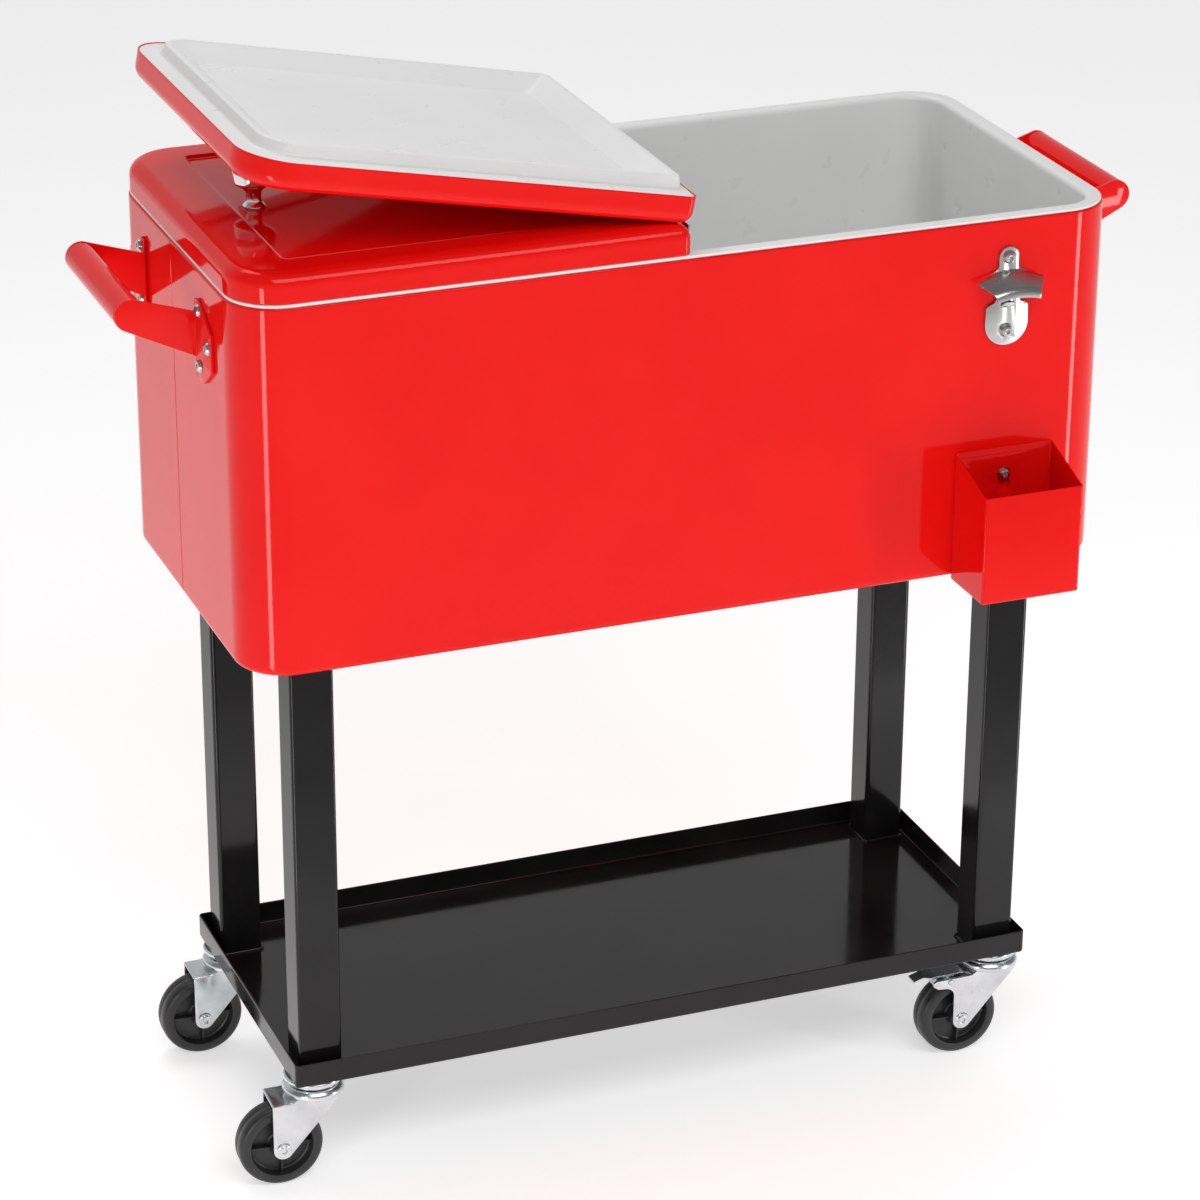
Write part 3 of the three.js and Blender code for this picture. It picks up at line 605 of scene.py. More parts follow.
def lid_knob(side):
    """A turned knob: a foot, a narrow neck and a wide dished cap."""
    box = mm_box("left_knob")
    cap = (box.x1 - box.x0) / 2
    height = box.z1 - HINGE.z - PANEL_Z
    rim = height - 8.8
    base, neck = 9.4, 6.2
    foot = rounded([(base, 0.3), (base, 1.6), (neck + 0.6, 4.6), (neck, 9), (neck + 0.4, 13)], 3, 5)
    flare = rounded([(neck + 0.4, 13), (9.2, rim - 5.6), (cap - 0.8, rim - 1.4), (cap, rim),
                     (cap, height - 2)], 3, 5)
    top = rounded([(cap, height - 2), (cap - 0.2, height), (cap - 4, height - 0.4),
                   (cap - 5, height - 1.6), (1, height - 1.9)], 1.2, 5)
    profile = foot + flare[1:] + top[1:]
    knob = moved(lathe(profile, 64), shift(KNOB_X, 0, PANEL_Z))
    piece(f"{side}_knob_turned", knob, "chrome", f"{side}_lid", [f"{side}_knob"], LID_PLACE[side])
    under = shift(KNOB_X, 0, LINER_FACE + DISH_DEPTH) @ turn("X", 180)
    screw = moved(button_screw(4.2, 2.4, 2.0, 6), under)
    piece(f"{side}_knob_screw_head", screw, "stainless", f"{side}_lid", [f"{side}_knob_screw"],
          LID_PLACE[side])


# ---- hinge -----------------------------------------------------------------------------------

KNUCKLE = 2.6
PITCH = 12.0
GROUPS = (-110, 0, 110)


def knuckle_row(places, x, thickness, drop):
    """Hinge knuckles at the given places in each group, each with a tab down to the sheet."""
    solids = []
    half = PITCH / 2 - 0.25
    for group in GROUPS:
        for place in places:
            y = group + place * PITCH
            tube = [(1.5, -half), (KNUCKLE - 0.3, -half), (KNUCKLE, -half + 0.3), (KNUCKLE, half - 0.3),
                    (KNUCKLE - 0.3, half), (1.5, half)]
            solids.append(moved(lathe(tube, 20, closed=True), shift(0, y, 0) @ turn("X", 90)))
            solids.append(block(x, x + thickness, y - half, y + half, drop, -KNUCKLE * 0.6, 0.2, 1))
    return solids


def hinge():
    place = Matrix.Translation(HINGE)
    bar = mm_box("hinge_bar")
    half = (bar.y1 - bar.y0) / 2
    low = bar.z0 - HINGE.z
    web = block(-0.8, 0.8, -half + 1, half - 1, low + 10, -KNUCKLE - 0.6, 0.4)
    foot_height = LID_MOUTH - 6 - low
    solids = [web]
    for side in (-1, 1):
        foot = block(-14, 14, -1, 1, 0, foot_height, 0.6)
        solids.append(moved(foot, shift(0, side * (half - 1), low)))
        for x, z in ((-9, 10), (9, 10), (-9, foot_height - 8), (9, foot_height - 8)):
            head = moved(button_screw(3.2, 2.0, 1.0, 1.0, 18), turn("X", 90 * side))
            solids.append(moved(head, shift(x, side * (half - 2.1), low + z)))
    solids += knuckle_row((-2, 2), -0.8, 1.6, -KNUCKLE - 1.0)
    piece("hinge_bar_sheet", joined(*solids), "stainless", "cooler", ["hinge_bar"], place)
    end = GROUPS[2] + 3 * PITCH
    pin = [(0.6, -end), (1.3, -end + 0.6), (1.3, end - 0.6), (0.6, end)]
    piece("hinge_pin_rod", moved(lathe(pin, 16), turn("X", 90)), "stainless", "cooler",
          ["hinge_pin"], place)
    for side, places in (("left", (-1, 1)), ("right", (0,))):
        strip = block(1.15, 2.15, -150, 150, LID_MOUTH + 3, -4.2, 0.3)
        leaf = joined(strip, *knuckle_row(places, 1.15, 1.0, -5))
        piece(f"{side}_lid_leaf_sheet", leaf, "stainless", f"{side}_lid", [f"{side}_lid_leaf"],
              LID_PLACE[side])


# ---- legs and shelf --------------------------------------------------------------------------

CORNERS = ("front_left", "front_right", "back_left", "back_right")
TRAY = mm_box("bottom_shelf")
TRAY_FLOOR = TRAY.z0 + 1.5


def weld_bead(area, z, reach=2.2):
    """A rippled bead of weld round a leg's foot."""
    base = ring(area, -0.2, z, steps=6, guard=0)
    centre = Vector(((area.x0 + area.x1) / 2, (area.y0 + area.y1) / 2, z))
    loops = [base]
    for step in range(7):
        angle = QUARTER * step / 6
        loop = []
        for i, point in enumerate(base):
            size = reach * (1 + 0.22 * math.sin(i * 2.1) + 0.1 * math.sin(i * 5.3))
            outward = (point - centre).normalized()
            loop.append(point + size * (outward * math.cos(angle) + Vector((0, 0, math.sin(angle)))))
        loops.append(loop)
    return loft(loops, caps=(True, False))


def legs():
    wall = 1.5
    for corner in CORNERS:
        area = rest_area(f"{corner}_leg", 3.2, 3.2)
        low, high = mm_box(f"{corner}_leg").z0, mm_box(f"{corner}_leg").z1
        profile = [(wall, low + 0.2), (0.3, low), (0, low + 0.4), (0, high - 0.5), (0.3, high),
                   (wall + 6, high)]
        outside = [ring(area, inset, z, steps=6) for inset, z in profile]
        piece(f"{corner}_leg_tube", loft(outside), "black_paint", "cooler", [f"{corner}_leg"])
        piece(f"{corner}_leg_weld", weld_bead(area, TRAY_FLOOR), "black_paint", "cooler")


def shelf():
    area = Area(TRAY.x0, TRAY.x1, TRAY.y0, TRAY.y1, 4, 4)
    thick = 1.5
    outer = rounded([(30, TRAY.z0), (0, TRAY.z0), (0, TRAY.z1 - 2)], 2.6, 6)
    hem = [(0.75 * (1 - math.cos(math.pi * i / 6)), TRAY.z1 - 0.75 + 0.75 * math.sin(math.pi * i / 6))
           for i in range(7)]
    inner = rounded([(thick, TRAY.z1 - 2), (thick, TRAY_FLOOR), (30, TRAY_FLOOR)], 1.8, 6)
    rings = [ring(area, inset, z, steps=8) for inset, z in outer + hem + inner]
    piece("bottom_shelf_tray", loft(rings), "black_paint", "cooler", ["bottom_shelf"])


# ---- casters: drawn with the swivel line on Z and the wheel trailing to -X -------------------

TRAIL = 32.0
WHEEL_RADIUS = 37.5
ARM_IN = 14.8
ARM_OUT = 17.3
ARM_END = 9.0
CROWN_DECK = 87.0
SHOULDER = 81.5
EAR_END = -62.0
DECK_HALF = 20.0
RACE = 26.0
PIVOT = Vector((-45.0, 78.5))


def caster_place(corner):
    point = joint_place(f"{corner}_swivel")
    axis = JOINTS[f"{corner}_wheel_spin"]["axis"]
    angle = math.degrees(math.atan2(-axis[0], axis[1]))
    return shift(point.x, point.y, 0) @ turn("Z", angle)


def caster_race():
    """The ball race under the shelf, with the kingpin's nut below and its stem above."""
    top = TRAY.z0 - 0.2
    cup = rounded([(6.5, top), (RACE, top), (RACE, top - 4.6), (RACE - 3.4, 94.2), (6.5, 94.2)], 2.4, 6)
    nut = [(4.8, 79.5), (7.6, 79.5), (8.2, 80.1), (8.2, 83.4), (4.8, 83.4)]
    stem = [(2, 78.4), (4.6, 79), (5.2, 79.6), (5.2, top + 2), (6, top + 3), (6, 116.6), (4.6, 118)]

    def hexagon(number, angle, radius):
        side = (angle + math.pi / 6) % (math.pi / 3) - math.pi / 6
        return radius if number in (0, 4) else radius * math.cos(math.pi / 6) / math.cos(side) * 1.08

    return joined(lathe(cup, 64, closed=True),
                  lathe(nut, 24, closed=True, shape=hexagon), lathe(stem, 24))


def crown_dome():
    """The fork's round crown, a shallow cup turned up against the ball race."""
    side = rounded([(6.0, 84.2), (RACE - 1.6, 84.2), (RACE + 1.0, 85.6), (RACE + 1.0, 89.4),
                    (RACE - 2.4, 93.2), (6.0, 93.2)], 2.2, 6)
    return lathe(side, 64, closed=True)


def arm_outline(braked):
    """One arm seen from its side: a round foot, a slanted front edge and an upright tail."""
    tail = -TRAIL - ARM_END
    foot = arc(-TRAIL, WHEEL_RADIUS, ARM_END, 180, 327, 14)
    front = [Vector((17.0, SHOULDER - 2)), Vector((DECK_HALF, SHOULDER + 1)),
             Vector((DECK_HALF, CROWN_DECK - 1.4)), Vector((-15, CROWN_DECK - 1.4))]
    step = [Vector((-19, CROWN_DECK - 2.2)), Vector((-23, SHOULDER + 0.6)), Vector((-27, SHOULDER))]
    if braked:
        ear = [Vector((EAR_END + 3, SHOULDER)), Vector((EAR_END, SHOULDER - 1.6)),
               Vector((EAR_END + 0.6, 76.0)), Vector((EAR_END + 5, 73.0)), Vector((tail - 9, 72.4))]
        ear += arc(tail - 9, 63.4, 9.0, 80, 8, 6)
        return foot + front + step + ear
    return foot + front + step + [Vector((tail + 1, SHOULDER)), Vector((tail, SHOULDER - 1))]


def caster_fork(braked):
    """Two pressed arms under a deck, joined to the round crown."""
    outline = arm_outline(braked)
    axle_hole = arc(-TRAIL, WHEEL_RADIUS, 3.4, 0, 345, 23)
    rod_hole = arc(PIVOT.x, PIVOT.y, 2.5, 0, 345, 15)
    holes = [axle_hole, rod_hole] if braked else [axle_hole]
    steel = ARM_OUT - ARM_IN
    solids = []
    for y in (-ARM_IN, ARM_OUT):
        solids.append(moved(plate(outline, steel, holes, 0.5), shift(0, y, 0) @ UPRIGHT))
    top = [(DECK_HALF, CROWN_DECK), (-17, CROWN_DECK)]
    if not braked:
        top += [(-23, SHOULDER + 0.4), (-TRAIL - ARM_END, SHOULDER + 0.2)]
    path = rounded(top, 5, 6)
    under = [Vector((point.x, point.y - 2.4)) for point in path]
    deck = plate(path + under[::-1], 2 * ARM_OUT + 0.1, (), 0)
    moved(deck, shift(0, ARM_OUT + 0.05, 0) @ UPRIGHT)
    soften(deck, 1.6, 4, 70)
    return joined(*solids, deck, crown_dome())


def caster_axle():
    """A hollow rivet with a dished flange on both arms."""
    flange = [(3.0, -1.5), (3.0, 0), (6.4, 0), (6.6, 0.5), (6.2, 1.0), (5.0, 0.9), (4.6, 1.2),
              (4.3, 2.0), (3.6, 2.2), (2.6, 1.9), (2.1, 0.6), (1.0, 0.4)]
    solids = []
    for side in (-1, 1):
        place = shift(-TRAIL, side * ARM_OUT, WHEEL_RADIUS) @ turn("X", -90 * side)
        solids.append(moved(lathe(flange, 40), place))
    rod = [(2.9, -ARM_OUT), (2.9, ARM_OUT)]
    solids.append(moved(lathe(rod, 20), shift(-TRAIL, 0, WHEEL_RADIUS) @ turn("X", 90)))
    return joined(*solids)


def caster_wheel():
    """A one-piece wheel: hub, ribbed web, round shoulders and a tread with a parting line."""
    half = 12.0
    bore, boss, web, rim = 3.7, 9.0, 3.0, 27.4
    rib_half = 0.8
    side = [(bore, 14), (boss - 0.6, 14), (boss, 13.4), (boss + 1.2, web + 0.8), (boss + 2.2, web),
            (rim - 2.0, web), (rim - 0.8, web + 0.8), (rim, half - 1.4), (rim + 0.5, half - 0.4),
            (rim + 1.4, half), (32.6, half), (34.6, half - 0.5), (36.2, half - 1.8),
            (37.1, half - 3.8)]
    tread = [(WHEEL_RADIUS, half - 6.4), (WHEEL_RADIUS, 0.5), (WHEEL_RADIUS - 0.3, 0),
             (WHEEL_RADIUS, -0.5), (WHEEL_RADIUS, 6.4 - half)]
    profile = side + tread + [(radius, -height) for radius, height in side[::-1]]
    solids = [lathe(profile, 96, closed=True)]
    rib = [(boss + 0.2, web - 1), (rim + 0.3, web - 1), (rim + 0.3, half - 4.0),
           (boss + 0.2, half - 2.4)]
    for number in range(4):
        for flip in (0, 180):
            fin = moved(plate(rib, 2 * rib_half, (), 0.3), shift(0, rib_half, 0) @ UPRIGHT)
            solids.append(moved(fin, turn("Z", 90 * number) @ turn("X", flip)))
    return moved(joined(*solids), shift(-TRAIL, 0, WHEEL_RADIUS) @ turn("X", 90))


def caster_pedal():
    """The brake pedal between the arms: a bent plate with a narrow tab, a shoe and its rod."""
    path = rounded([(-29.5, 84.2), (-50, 83.8), (-61, 83.6), (-70, 81.4), (-76.6, 79.2)], 5, 5)
    half_width = 11.8
    tab_half = 6.5
    thick = 1.6
    rows = []
    for point in path:
        narrow = min(max((-62 - point.x) / 6, 0), 1)
        half = half_width + (tab_half - half_width) * narrow * narrow * (3 - 2 * narrow)
        rows.append([Vector((point.x, -half, point.y)), Vector((point.x, half, point.y)),
                     Vector((point.x, half, point.y - thick)),
                     Vector((point.x, -half, point.y - thick))])
    top = soften(loft(rows), 0.5, 3, 60)
    skirt = round_outline([(-57, 82.6), (-58, 76.5), (-55.5, 72.4), (-52.5, 75.8), (-41.5, 75.8),
                           (-39, 82.6)], [0.5, 1.5, 1.5, 2.5, 2, 0.5], 4)
    sides = [moved(plate(skirt, thick, (), 0.3), shift(0, y, 0) @ UPRIGHT)
             for y in (half_width, thick - half_width)]
    shoe = block(-57.4, -55.6, -10, 10, 72.0, 82.6, 0.5)
    rod_profile = [(1.2, -18.2), (1.9, -18.0), (2.1, -17.5), (2.1, 17.5), (1.9, 18.0), (1.2, 18.2)]
    rod = moved(lathe(rod_profile, 24), shift(PIVOT.x, 0, PIVOT.y) @ turn("X", 90))
    return joined(top, *sides, shoe, rod)


def casters():
    for corner in CORNERS:
        braked = "right" in corner
        place = caster_place(corner)
        name = f"{corner}_caster"
        piece(f"{name}_race", caster_race(), "zinc", "cooler", [f"{name}_stem"], place)
        piece(f"{name}_pressed_fork", caster_fork(braked), "zinc", f"{corner}_fork",
              [f"{name}_fork"], place)
        piece(f"{name}_rivet", caster_axle(), "zinc", f"{corner}_fork", [f"{name}_axle"], place)
        piece(f"{name}_moulded_wheel", caster_wheel(), "wheel_plastic", f"{corner}_wheel",
              [f"{name}_wheel"], place)
        if braked:
            piece(f"{corner}_pedal_plate", caster_pedal(), "zinc", f"{corner}_pedal",
                  [f"{corner}_brake_pedal"], place)


# ---- handles ---------------------------------------------------------------------------------

SHEET = 2.5
GRIP = mm_box("right_handle_grip")
GRIP_R = (GRIP.z1 - GRIP.z0) / 2
GRIP_Z = (GRIP.z0 + GRIP.z1) / 2
GRIP_X = (GRIP.x0 + GRIP.x1) / 2
HANDLE_Y = (GRIP.y0 + GRIP.y1) / 2
FLANGE = ((0, -91), (-18, -91), (-42, -73), (-42, -42), (-5, -22))


def bent_bracket():
    """The folded bracket at the right end's front: flange on the wall, arm standing out to +X.
    It is drawn flat, u along the sheet, and then folded about the fold line at u 0."""
    fold = 3.0
    wall = GRIP_X - (TUB.x1 + 0.3)
    flange = [(u, TUB_Z1 + z) for u, z in FLANGE]
    outline = round_outline(flange, [1, 2, 2, 2, 1], 4)
    outline += [Vector((2.5, TUB_Z1 - 24)), Vector((3.0, TUB_Z1 - 35))]
    outline += arc(wall, GRIP_Z, GRIP_R + 0.5, 99, -68, 18)
    outline += [Vector((3.0, TUB_Z1 - 73)), Vector((2.5, TUB_Z1 - 89))]
    spread = [fold * QUARTER * i / 8 - fold * 0.35 for i in range(9)]
    sheet = plate(outline, SHEET, (), 0, cuts=spread)
    soften(sheet, 0.35, 2, 60)
    for vert in sheet.verts:
        u, z, depth = vert.co
        along = u - spread[0]
        radius = fold - depth
        if along <= 0:
            x, y = depth, along
        elif along < fold * QUARTER:
            angle = along / fold
            x, y = fold - radius * math.cos(angle), radius * math.sin(angle)
        else:
            x, y = fold + along - fold * QUARTER, radius
        vert.co = Vector((x, y, z))
    return sheet


def handles():
    half = (GRIP.y1 - GRIP.y0) / 2
    wall_x = TUB.x1 + 0.3
    flange_screws = ((-8, -31), (-33, -55), (-9, -78))
    for side, mirror_x in (("right", 1), ("left", -1)):
        flip_x = Matrix.Diagonal((mirror_x, 1, 1, 1))
        for end, mirror_y in (("front", 1), ("rear", -1)):
            flip_y = Matrix.Diagonal((1, mirror_y, 1, 1))
            place = flip_x @ shift(0, HANDLE_Y, 0) @ flip_y @ shift(wall_x, -half - 0.3 - SHEET, 0)
            name = f"{side}_handle_{end}"
            piece(f"{name}_folded_bracket", bent_bracket(), "red_paint", "cooler",
                  [f"{name}_bracket"], place)
            heads = []
            for y, z in flange_screws:
                screw = button_screw(5.2, 3.2, 1.5, 2.0)
                heads.append(moved(screw, shift(SHEET, y, TUB_Z1 + z) @ FACE_X))
            piece(f"{name}_screws", joined(*heads), "stainless", "cooler", (), place)
        tube = [(GRIP_R - 2, -half), (GRIP_R - 0.8, -half), (GRIP_R, -half + 0.8), (GRIP_R, half - 0.8),
                (GRIP_R - 0.8, half), (GRIP_R - 2, half)]
        place = flip_x @ shift(GRIP_X, HANDLE_Y, GRIP_Z) @ turn("X", 90)
        piece(f"{side}_handle_tube", lathe(tube, 48, closed=True), "red_paint", "cooler",
              [f"{side}_handle_grip"], place)


# ---- bottle opener ---------------------------------------------------------------------------

OPENER = mm_box("bottle_opener")
OPENER_X = (mm_box("opener_upper_screw").x0 + mm_box("opener_upper_screw").x1) / 2
OPENER_T = 2.2
UPPER_Z = (mm_box("opener_upper_screw").z0 + mm_box("opener_upper_screw").z1) / 2
LOWER_Z = (mm_box("opener_lower_screw").z0 + mm_box("opener_lower_screw").z1) / 2


def opener_plate():
    """The flat sheet on the wall: a round tab above and a round-ended plate below."""
    lobe = 20.0
    tab = 9.0
    lobe_z = LOWER_Z + 7
    outline = arc(0, UPPER_Z, tab, 0, 180, 20)
    shoulder = [Vector((-tab, LOWER_Z + 31)), Vector((-tab - 3, LOWER_Z + 25.5)),
                Vector((-lobe + 3, LOWER_Z + 23.5)), Vector((-lobe + 0.6, LOWER_Z + 21.5))]
    outline += shoulder + arc(0, lobe_z, lobe, 180, 360, 32)
    outline += [Vector((-point.x, point.y)) for point in shoulder[::-1]]
    holes = [arc(0, z, 2.4, 0, 345, 23) for z in (UPPER_Z, LOWER_Z)]
    return moved(plate(outline, OPENER_T, holes, 0.6), UPRIGHT)


def opener_hood():
    """A crowned sheet that leaves the tab, widens to two tips and turns down into a lip.
    A station is (part of the way, half width, reach, height from the upper screw, droop at the side)."""
    stations = (
        (0.00, 9.0, 1.3, -9.0, 0.0), (0.06, 11.5, 1.7, -10.6, 0.6), (0.14, 19.0, 3.2, -11.8, 2.6),
        (0.30, 31.0, 6.6, -13.6, 5.2), (0.55, 26.8, 13.2, -17.2, 4.4), (0.80, 22.4, 20.4, -21.4, 3.2),
        (0.88, 21.2, 22.6, -23.6, 2.8), (0.94, 20.4, 23.6, -26.0, 2.6), (1.00, 19.6, 23.9, -29.2, 2.6),
    )
    columns, rows = 32, 30

    def at(part, label):
        for before, after in zip(stations, stations[1:]):
            if part <= after[0]:
                share = (part - before[0]) / (after[0] - before[0])
                return before[label] + (after[label] - before[label]) * share
        return stations[-1][label]

    solid = bmesh.new()
    verts = []
    for j in range(rows + 1):
        t = j / rows
        half, reach, height, droop = (at(t, label) for label in (1, 2, 3, 4))
        row = []
        for i in range(columns + 1):
            across = 2 * i / columns - 1
            z = UPPER_Z + height - droop * across * across
            row.append(solid.verts.new((half * across, -reach, z)))
        verts.append(row)
    for lower, upper in zip(verts, verts[1:]):
        for i in range(columns):
            solid.faces.new((lower[i], lower[i + 1], upper[i + 1], upper[i]))
    bmesh.ops.recalc_face_normals(solid, faces=solid.faces)
    if solid.faces[0].normal.y > 0:
        bmesh.ops.reverse_faces(solid, faces=solid.faces)
    bmesh.ops.solidify(solid, geom=solid.faces[:], thickness=OPENER_T * 0.8)
    return soften(solid, 0.3, 2, 60)


def opener():
    place = shift(OPENER_X, OPENER.y1, 0)
    tooth_z = LOWER_Z + 22
    tooth = plate(round_outline([(-6, 0), (6, 0), (4.5, 6), (-4.5, 6)], 1.5, 4), OPENER_T, (), 0.5)
    tooth = moved(tooth, shift(0, -OPENER_T, tooth_z) @ turn("X", 90 + 28))
    solid = joined(opener_plate(), opener_hood(), tooth)
    piece("bottle_opener_sheet", solid, "stainless", "cooler", ["bottle_opener"], place, 40)
    for name, z in (("upper", UPPER_Z), ("lower", LOWER_Z)):
        screw = moved(button_screw(), shift(0, -OPENER_T, z) @ FACE_FRONT)
        piece(f"opener_{name}_button_screw", screw, "stainless", "cooler",
              [f"opener_{name}_screw"], place)


# ---- cap catcher -----------------------------------------------------------------------------

CATCHER = mm_box("cap_catcher")
CATCHER_FRONT_TOP = 97.0
KEY_Z = (mm_box("catcher_screw").z0 + mm_box("catcher_screw").z1) / 2


def catcher_box():
    """The folded box: rings run up the outside, over the slanted rim and down the inside."""
    wall = 1.2
    low, back_top = CATCHER.z0, CATCHER.z1
    front_top = low + CATCHER_FRONT_TOP
    area = Area(CATCHER.x0, CATCHER.x1, CATCHER.y0, CATCHER.y1, 2.2, 2.2)

    def rim(points, lower=0.0):
        for point in points:
            part = (point.y - area.y0 - 8) / (area.y1 - area.y0 - 8)
            point.z = front_top + max(part, 0) * (back_top - front_top) - lower
        return points

    outside = rounded([(12, low), (0, low), (0, low + 8)], 2.2, 5)
    inside = rounded([(wall, low + 8), (wall, low + wall), (12, low + wall)], 1.6, 5)
    rings = [ring(area, inset, z, steps=5) for inset, z in outside]
    rings.append(rim(ring(area, 0, 0, steps=5), 0.5))
    rings.append(rim(ring(area, 0.3, 0, steps=5)))
    rings.append(rim(ring(area, wall - 0.3, 0, steps=5)))
    rings.append(rim(ring(area, wall, 0, steps=5), 0.5))
    rings += [ring(area, inset, z, steps=5) for inset, z in inside]
    return loft(rings)


def keyhole(centre_x, steps=16):
    """A narrow round-topped slot that opens into a wide round hole below."""
    narrow, wide, drop = 2.6, 6.3, 10.0
    meet = math.degrees(math.acos(narrow / wide))
    outline = arc(centre_x, KEY_Z, narrow, 0, 180, steps)
    outline += arc(centre_x, KEY_Z - drop, wide, 180 - meet, 360 + meet, 2 * steps)
    return outline


def catcher():
    solid = catcher_box()
    middle = (CATCHER.x0 + CATCHER.x1) / 2
    mesh = bpy.data.meshes.new("catcher_cutter")
    cutter = plate(keyhole(middle), 8, (), 0)
    moved(cutter, Matrix.Scale(MM, 4) @ shift(0, CATCHER.y1 + 3, 0) @ UPRIGHT)
    cutter.to_mesh(mesh)
    cutter.free()
    tool = bpy.data.objects.new("catcher_cutter", mesh)
    SCENE.collection.objects.link(tool)
    box = piece("cap_catcher_box", solid, "red_paint", "cap_catcher", ["cap_catcher"])
    cut = box.modifiers.new("keyhole", "BOOLEAN")
    cut.operation = "DIFFERENCE"
    cut.solver = "EXACT"
    cut.object = tool
    bpy.context.view_layer.update()
    evaluated = box.evaluated_get(bpy.context.evaluated_depsgraph_get())
    shaped = bpy.data.meshes.new_from_object(evaluated)
    box.modifiers.clear()
    box.data = shaped
    bpy.data.objects.remove(tool)
    shaped.set_sharp_from_angle(angle=math.radians(32))
    sheet = 0.9
    top = CATCHER.z1 - 5.5
    inset = 3.4
    corners = [(CATCHER.x0 + inset, CATCHER.z0 + 3), (CATCHER.x1 - inset, CATCHER.z0 + 3),
               (CATCHER.x1 - inset, top), (CATCHER.x0 + inset, top)]
    panel = plate(corners, sheet, [keyhole(middle)], 0.25)
    moved(panel, shift(0, CATCHER.y1 - 1.25, 0) @ UPRIGHT)
    piece("cap_catcher_back_panel", panel, "red_paint", "cap_catcher")
    screw = moved(button_screw(5.6, 3.6), shift(middle, CATCHER.y1 - 1.3 - sheet, KEY_Z) @ FACE_FRONT)
    piece("catcher_button_screw", screw, "stainless", "cooler", ["catcher_screw"])


# ---- drain -----------------------------------------------------------------------------------


def drain():
    spout = mm_box("drain_spout")
    cap = mm_box("drain_cap")
    z = (spout.z0 + spout.z1) / 2
    place = shift(TUB.x1, MID_Y, z) @ FACE_X
    inner = spout.x0 - TUB.x1
    reach = spout.x1 - TUB.x1
    tube = [(6.5, inner - 1.0), (11.5, inner - 1.0), (12, inner - 0.4), (12, inner + 0.4),
            (9, inner + 0.8), (9, 0.3), (14.6, 0.3), (15, 0.7), (15, 2.6), (14.4, 3.2), (9, 3.2)]
    turns = 5
    for number in range(turns):
        base = 5 + number * (reach - 8) / turns
        tube += [(8.4, base), (9, base + 0.8), (9, base + 1.2), (8.4, base + 2)]
    tube += [(8.2, reach), (6.5, reach)]
    strainer = [block(-6.6, 6.6, y - 0.8, y + 0.8, inner - 0.8, inner + 0.6, 0.2, 1)
                for y in (-4.5, -1.5, 1.5, 4.5)]
    spout_solid = joined(lathe(tube, 48, closed=True), *strainer)
    piece("drain_spout_moulded", spout_solid, "drain_plastic", "cooler", ["drain_spout"], place)
    near, far = cap.x0 - TUB.x1, cap.x1 - TUB.x1
    outer = (cap.z1 - cap.z0) / 2

    def fluted(number, angle, radius):
        return radius - 0.7 * max(0, math.cos(angle * 24)) if number in (4, 5) else radius

    profile = [(1, far - 3.4), (9.6, far - 3.4), (9.6, near), (outer - 0.6, near), (outer, near + 1.2),
               (outer, far - 3), (outer - 1.4, far - 0.6), (outer - 3, far), (5, far),
               (4.4, far - 0.8), (1, far - 0.8)]
    piece("drain_cap_fluted", lathe(profile, 96, shape=fluted), "drain_plastic", "drain_cap",
          ["drain_cap"], place)


# ---- hidden CAD nodes that stay --------------------------------------------------------------


def keep(node, slot):
    """Gives a CAD node that has no visual piece its look."""
    materials = frame["nodes"][node].data.materials
    materials.clear()
    materials.append(LOOKS[slot])


# ---- studio ----------------------------------------------------------------------------------


def smooth_step(tree, source, start, end, low, high):
    """Eases from low to high while the source goes from start to end."""
    node = tree.nodes.new("ShaderNodeMapRange")
    node.interpolation_type = "SMOOTHSTEP"
    for socket, value in (("From Min", start), ("From Max", end), ("To Min", low), ("To Max", high)):
        node.inputs[socket].default_value = value
    tree.links.new(source, node.inputs["Value"])
    return node.outputs["Result"]


def sky():
    """A studio's surroundings: bright behind and along the horizon, dim overhead and in front."""
    world = bpy.data.worlds.new("studio")
    SCENE.world = world
    world.use_nodes = True
    tree = world.node_tree
    background = tree.nodes["Background"]
    background.inputs["Color"].default_value = (1.0, 1.0, 1.0, 1)
    direction = tree.nodes.new("ShaderNodeTexCoord").outputs["Generated"]
    split = tree.nodes.new("ShaderNodeSeparateXYZ")
    tree.links.new(direction, split.inputs["Vector"])

    behind = smooth_step(tree, split.outputs["Y"], 0.1, 0.75, 0.22, 0.62)
    horizon = smooth_step(tree, split.outputs["Z"], 0.10, 0.42, 0.52, 0.0)
    larger = tree.nodes.new("ShaderNodeMath")
    larger.operation = "MAXIMUM"
    tree.links.new(behind, larger.inputs[0])
    tree.links.new(horizon, larger.inputs[1])
    tree.links.new(larger.outputs["Value"], background.inputs["Strength"])


def floor():
    """A pale floor that glows a little less far in front of the cooler."""
    mesh = bpy.data.meshes.new("floor")
    reach = 30
    corners = [(-reach, -reach, 0), (reach, -reach, 0), (reach, reach, 0), (-reach, reach, 0)]
    mesh.from_pydata(corners, [], [(0, 1, 2, 3)])
    ground = bpy.data.objects.new("floor", mesh)
    SCENE.collection.objects.link(ground)
    look = Nodes("pale_floor")
    look.colours(look.noise(3, 2), (0.86, 0.86, 0.86), (0.87, 0.87, 0.87))
    look.socket(Roughness=0.65, Emission_Color=(1, 1, 1, 1))
    split = look.tree.nodes.new("ShaderNodeSeparateXYZ")
    look.tree.links.new(look.place, split.inputs["Vector"])
    glow = smooth_step(look.tree, split.outputs["Y"], -1.6, -0.8, 0.3, 0.5)
    look.tree.links.new(glow, look.shader.inputs["Emission Strength"])
    mesh.materials.append(look.material)


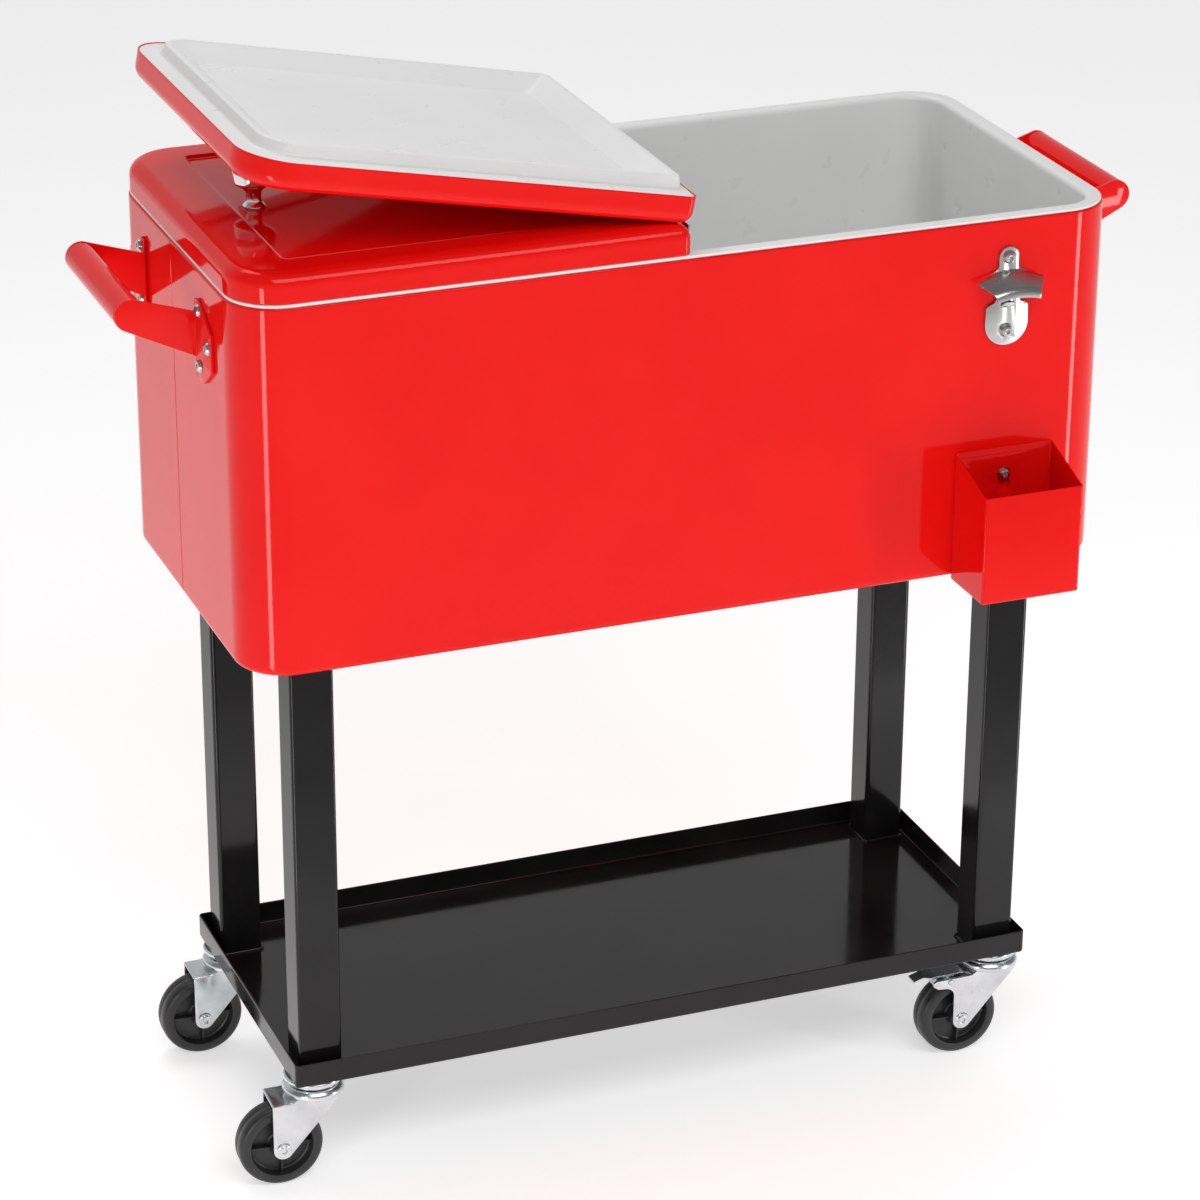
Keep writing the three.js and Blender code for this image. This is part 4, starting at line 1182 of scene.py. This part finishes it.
def softbox(name, centre, target, width, height, power):
    light = bpy.data.lights.new(name, "AREA")
    light.shape = "RECTANGLE"
    light.size = width
    light.size_y = height
    light.energy = power
    lamp = bpy.data.objects.new(name, light)
    SCENE.collection.objects.link(lamp)
    direction = Vector(target) - Vector(centre)
    lamp.location = centre
    lamp.rotation_euler = direction.to_track_quat("-Z", "Y").to_euler()
    lamp.visible_camera = False


def strip(name, corner_x, azimuth, width, power):
    """A low upright softbox a metre from a front corner, at an angle round from the front."""
    distance = 1.05
    corner_y = TUB.y0 * MM + 0.03
    height = 0.62
    middle_z = height / 2 + 0.01
    angle = math.radians(azimuth)
    x = corner_x - math.sin(angle) * distance
    y = corner_y - math.cos(angle) * distance
    softbox(name, (x, y, middle_z), (corner_x, corner_y, middle_z), width, height, power)


def lights():
    middle = (0, MID_Y * MM, 0.6)
    corner = TUB.x1 * MM - 0.045
    softbox("front_softbox", (-0.1, -2.0, 2.55), middle, 2.2, 1.1, 31)
    softbox("top_softbox", (-0.3, 0.9, 2.5), middle, 1.6, 0.8, 13)
    strip("left_strip", -corner, 47, 0.16, 3)
    strip("right_strip", corner, -44, 0.16, 3.5)


def camera():
    yaw, pitch, roll = (math.radians(a) for a in (21.419, 23.782, 0.328))
    level = math.cos(pitch)
    forward = Vector((math.sin(yaw) * level, math.cos(yaw) * level, -math.sin(pitch)))
    right = forward.cross(Vector((0, 0, 1))).normalized()
    up = right.cross(forward)
    tilted_right = right * math.cos(roll) + up * math.sin(roll)
    tilted_up = up * math.cos(roll) - right * math.sin(roll)
    view = Matrix((tilted_right, tilted_up, -forward)).transposed().to_4x4()
    data = bpy.data.cameras.new("camera")
    data.lens = 124.88
    data.sensor_width = 36
    made = bpy.data.objects.new("camera", data)
    made.matrix_world = Matrix.Translation((-1.23355, -3.08301, 1.91983)) @ view
    SCENE.collection.objects.link(made)
    SCENE.camera = made


camera()
floor()
sky()
lights()
tub_shell()
tub_liner()
for lid_side in ("left", "right"):
    lid_shell(lid_side)
    lid_liner(lid_side)
    lid_knob(lid_side)
hinge()
legs()
shelf()
casters()
handles()
opener()
catcher()
drain()
for hidden in ("tub_insulation", "left_lid_foam", "right_lid_foam"):
    keep(hidden, "foam")
SCENE.view_settings.view_transform = "Standard"
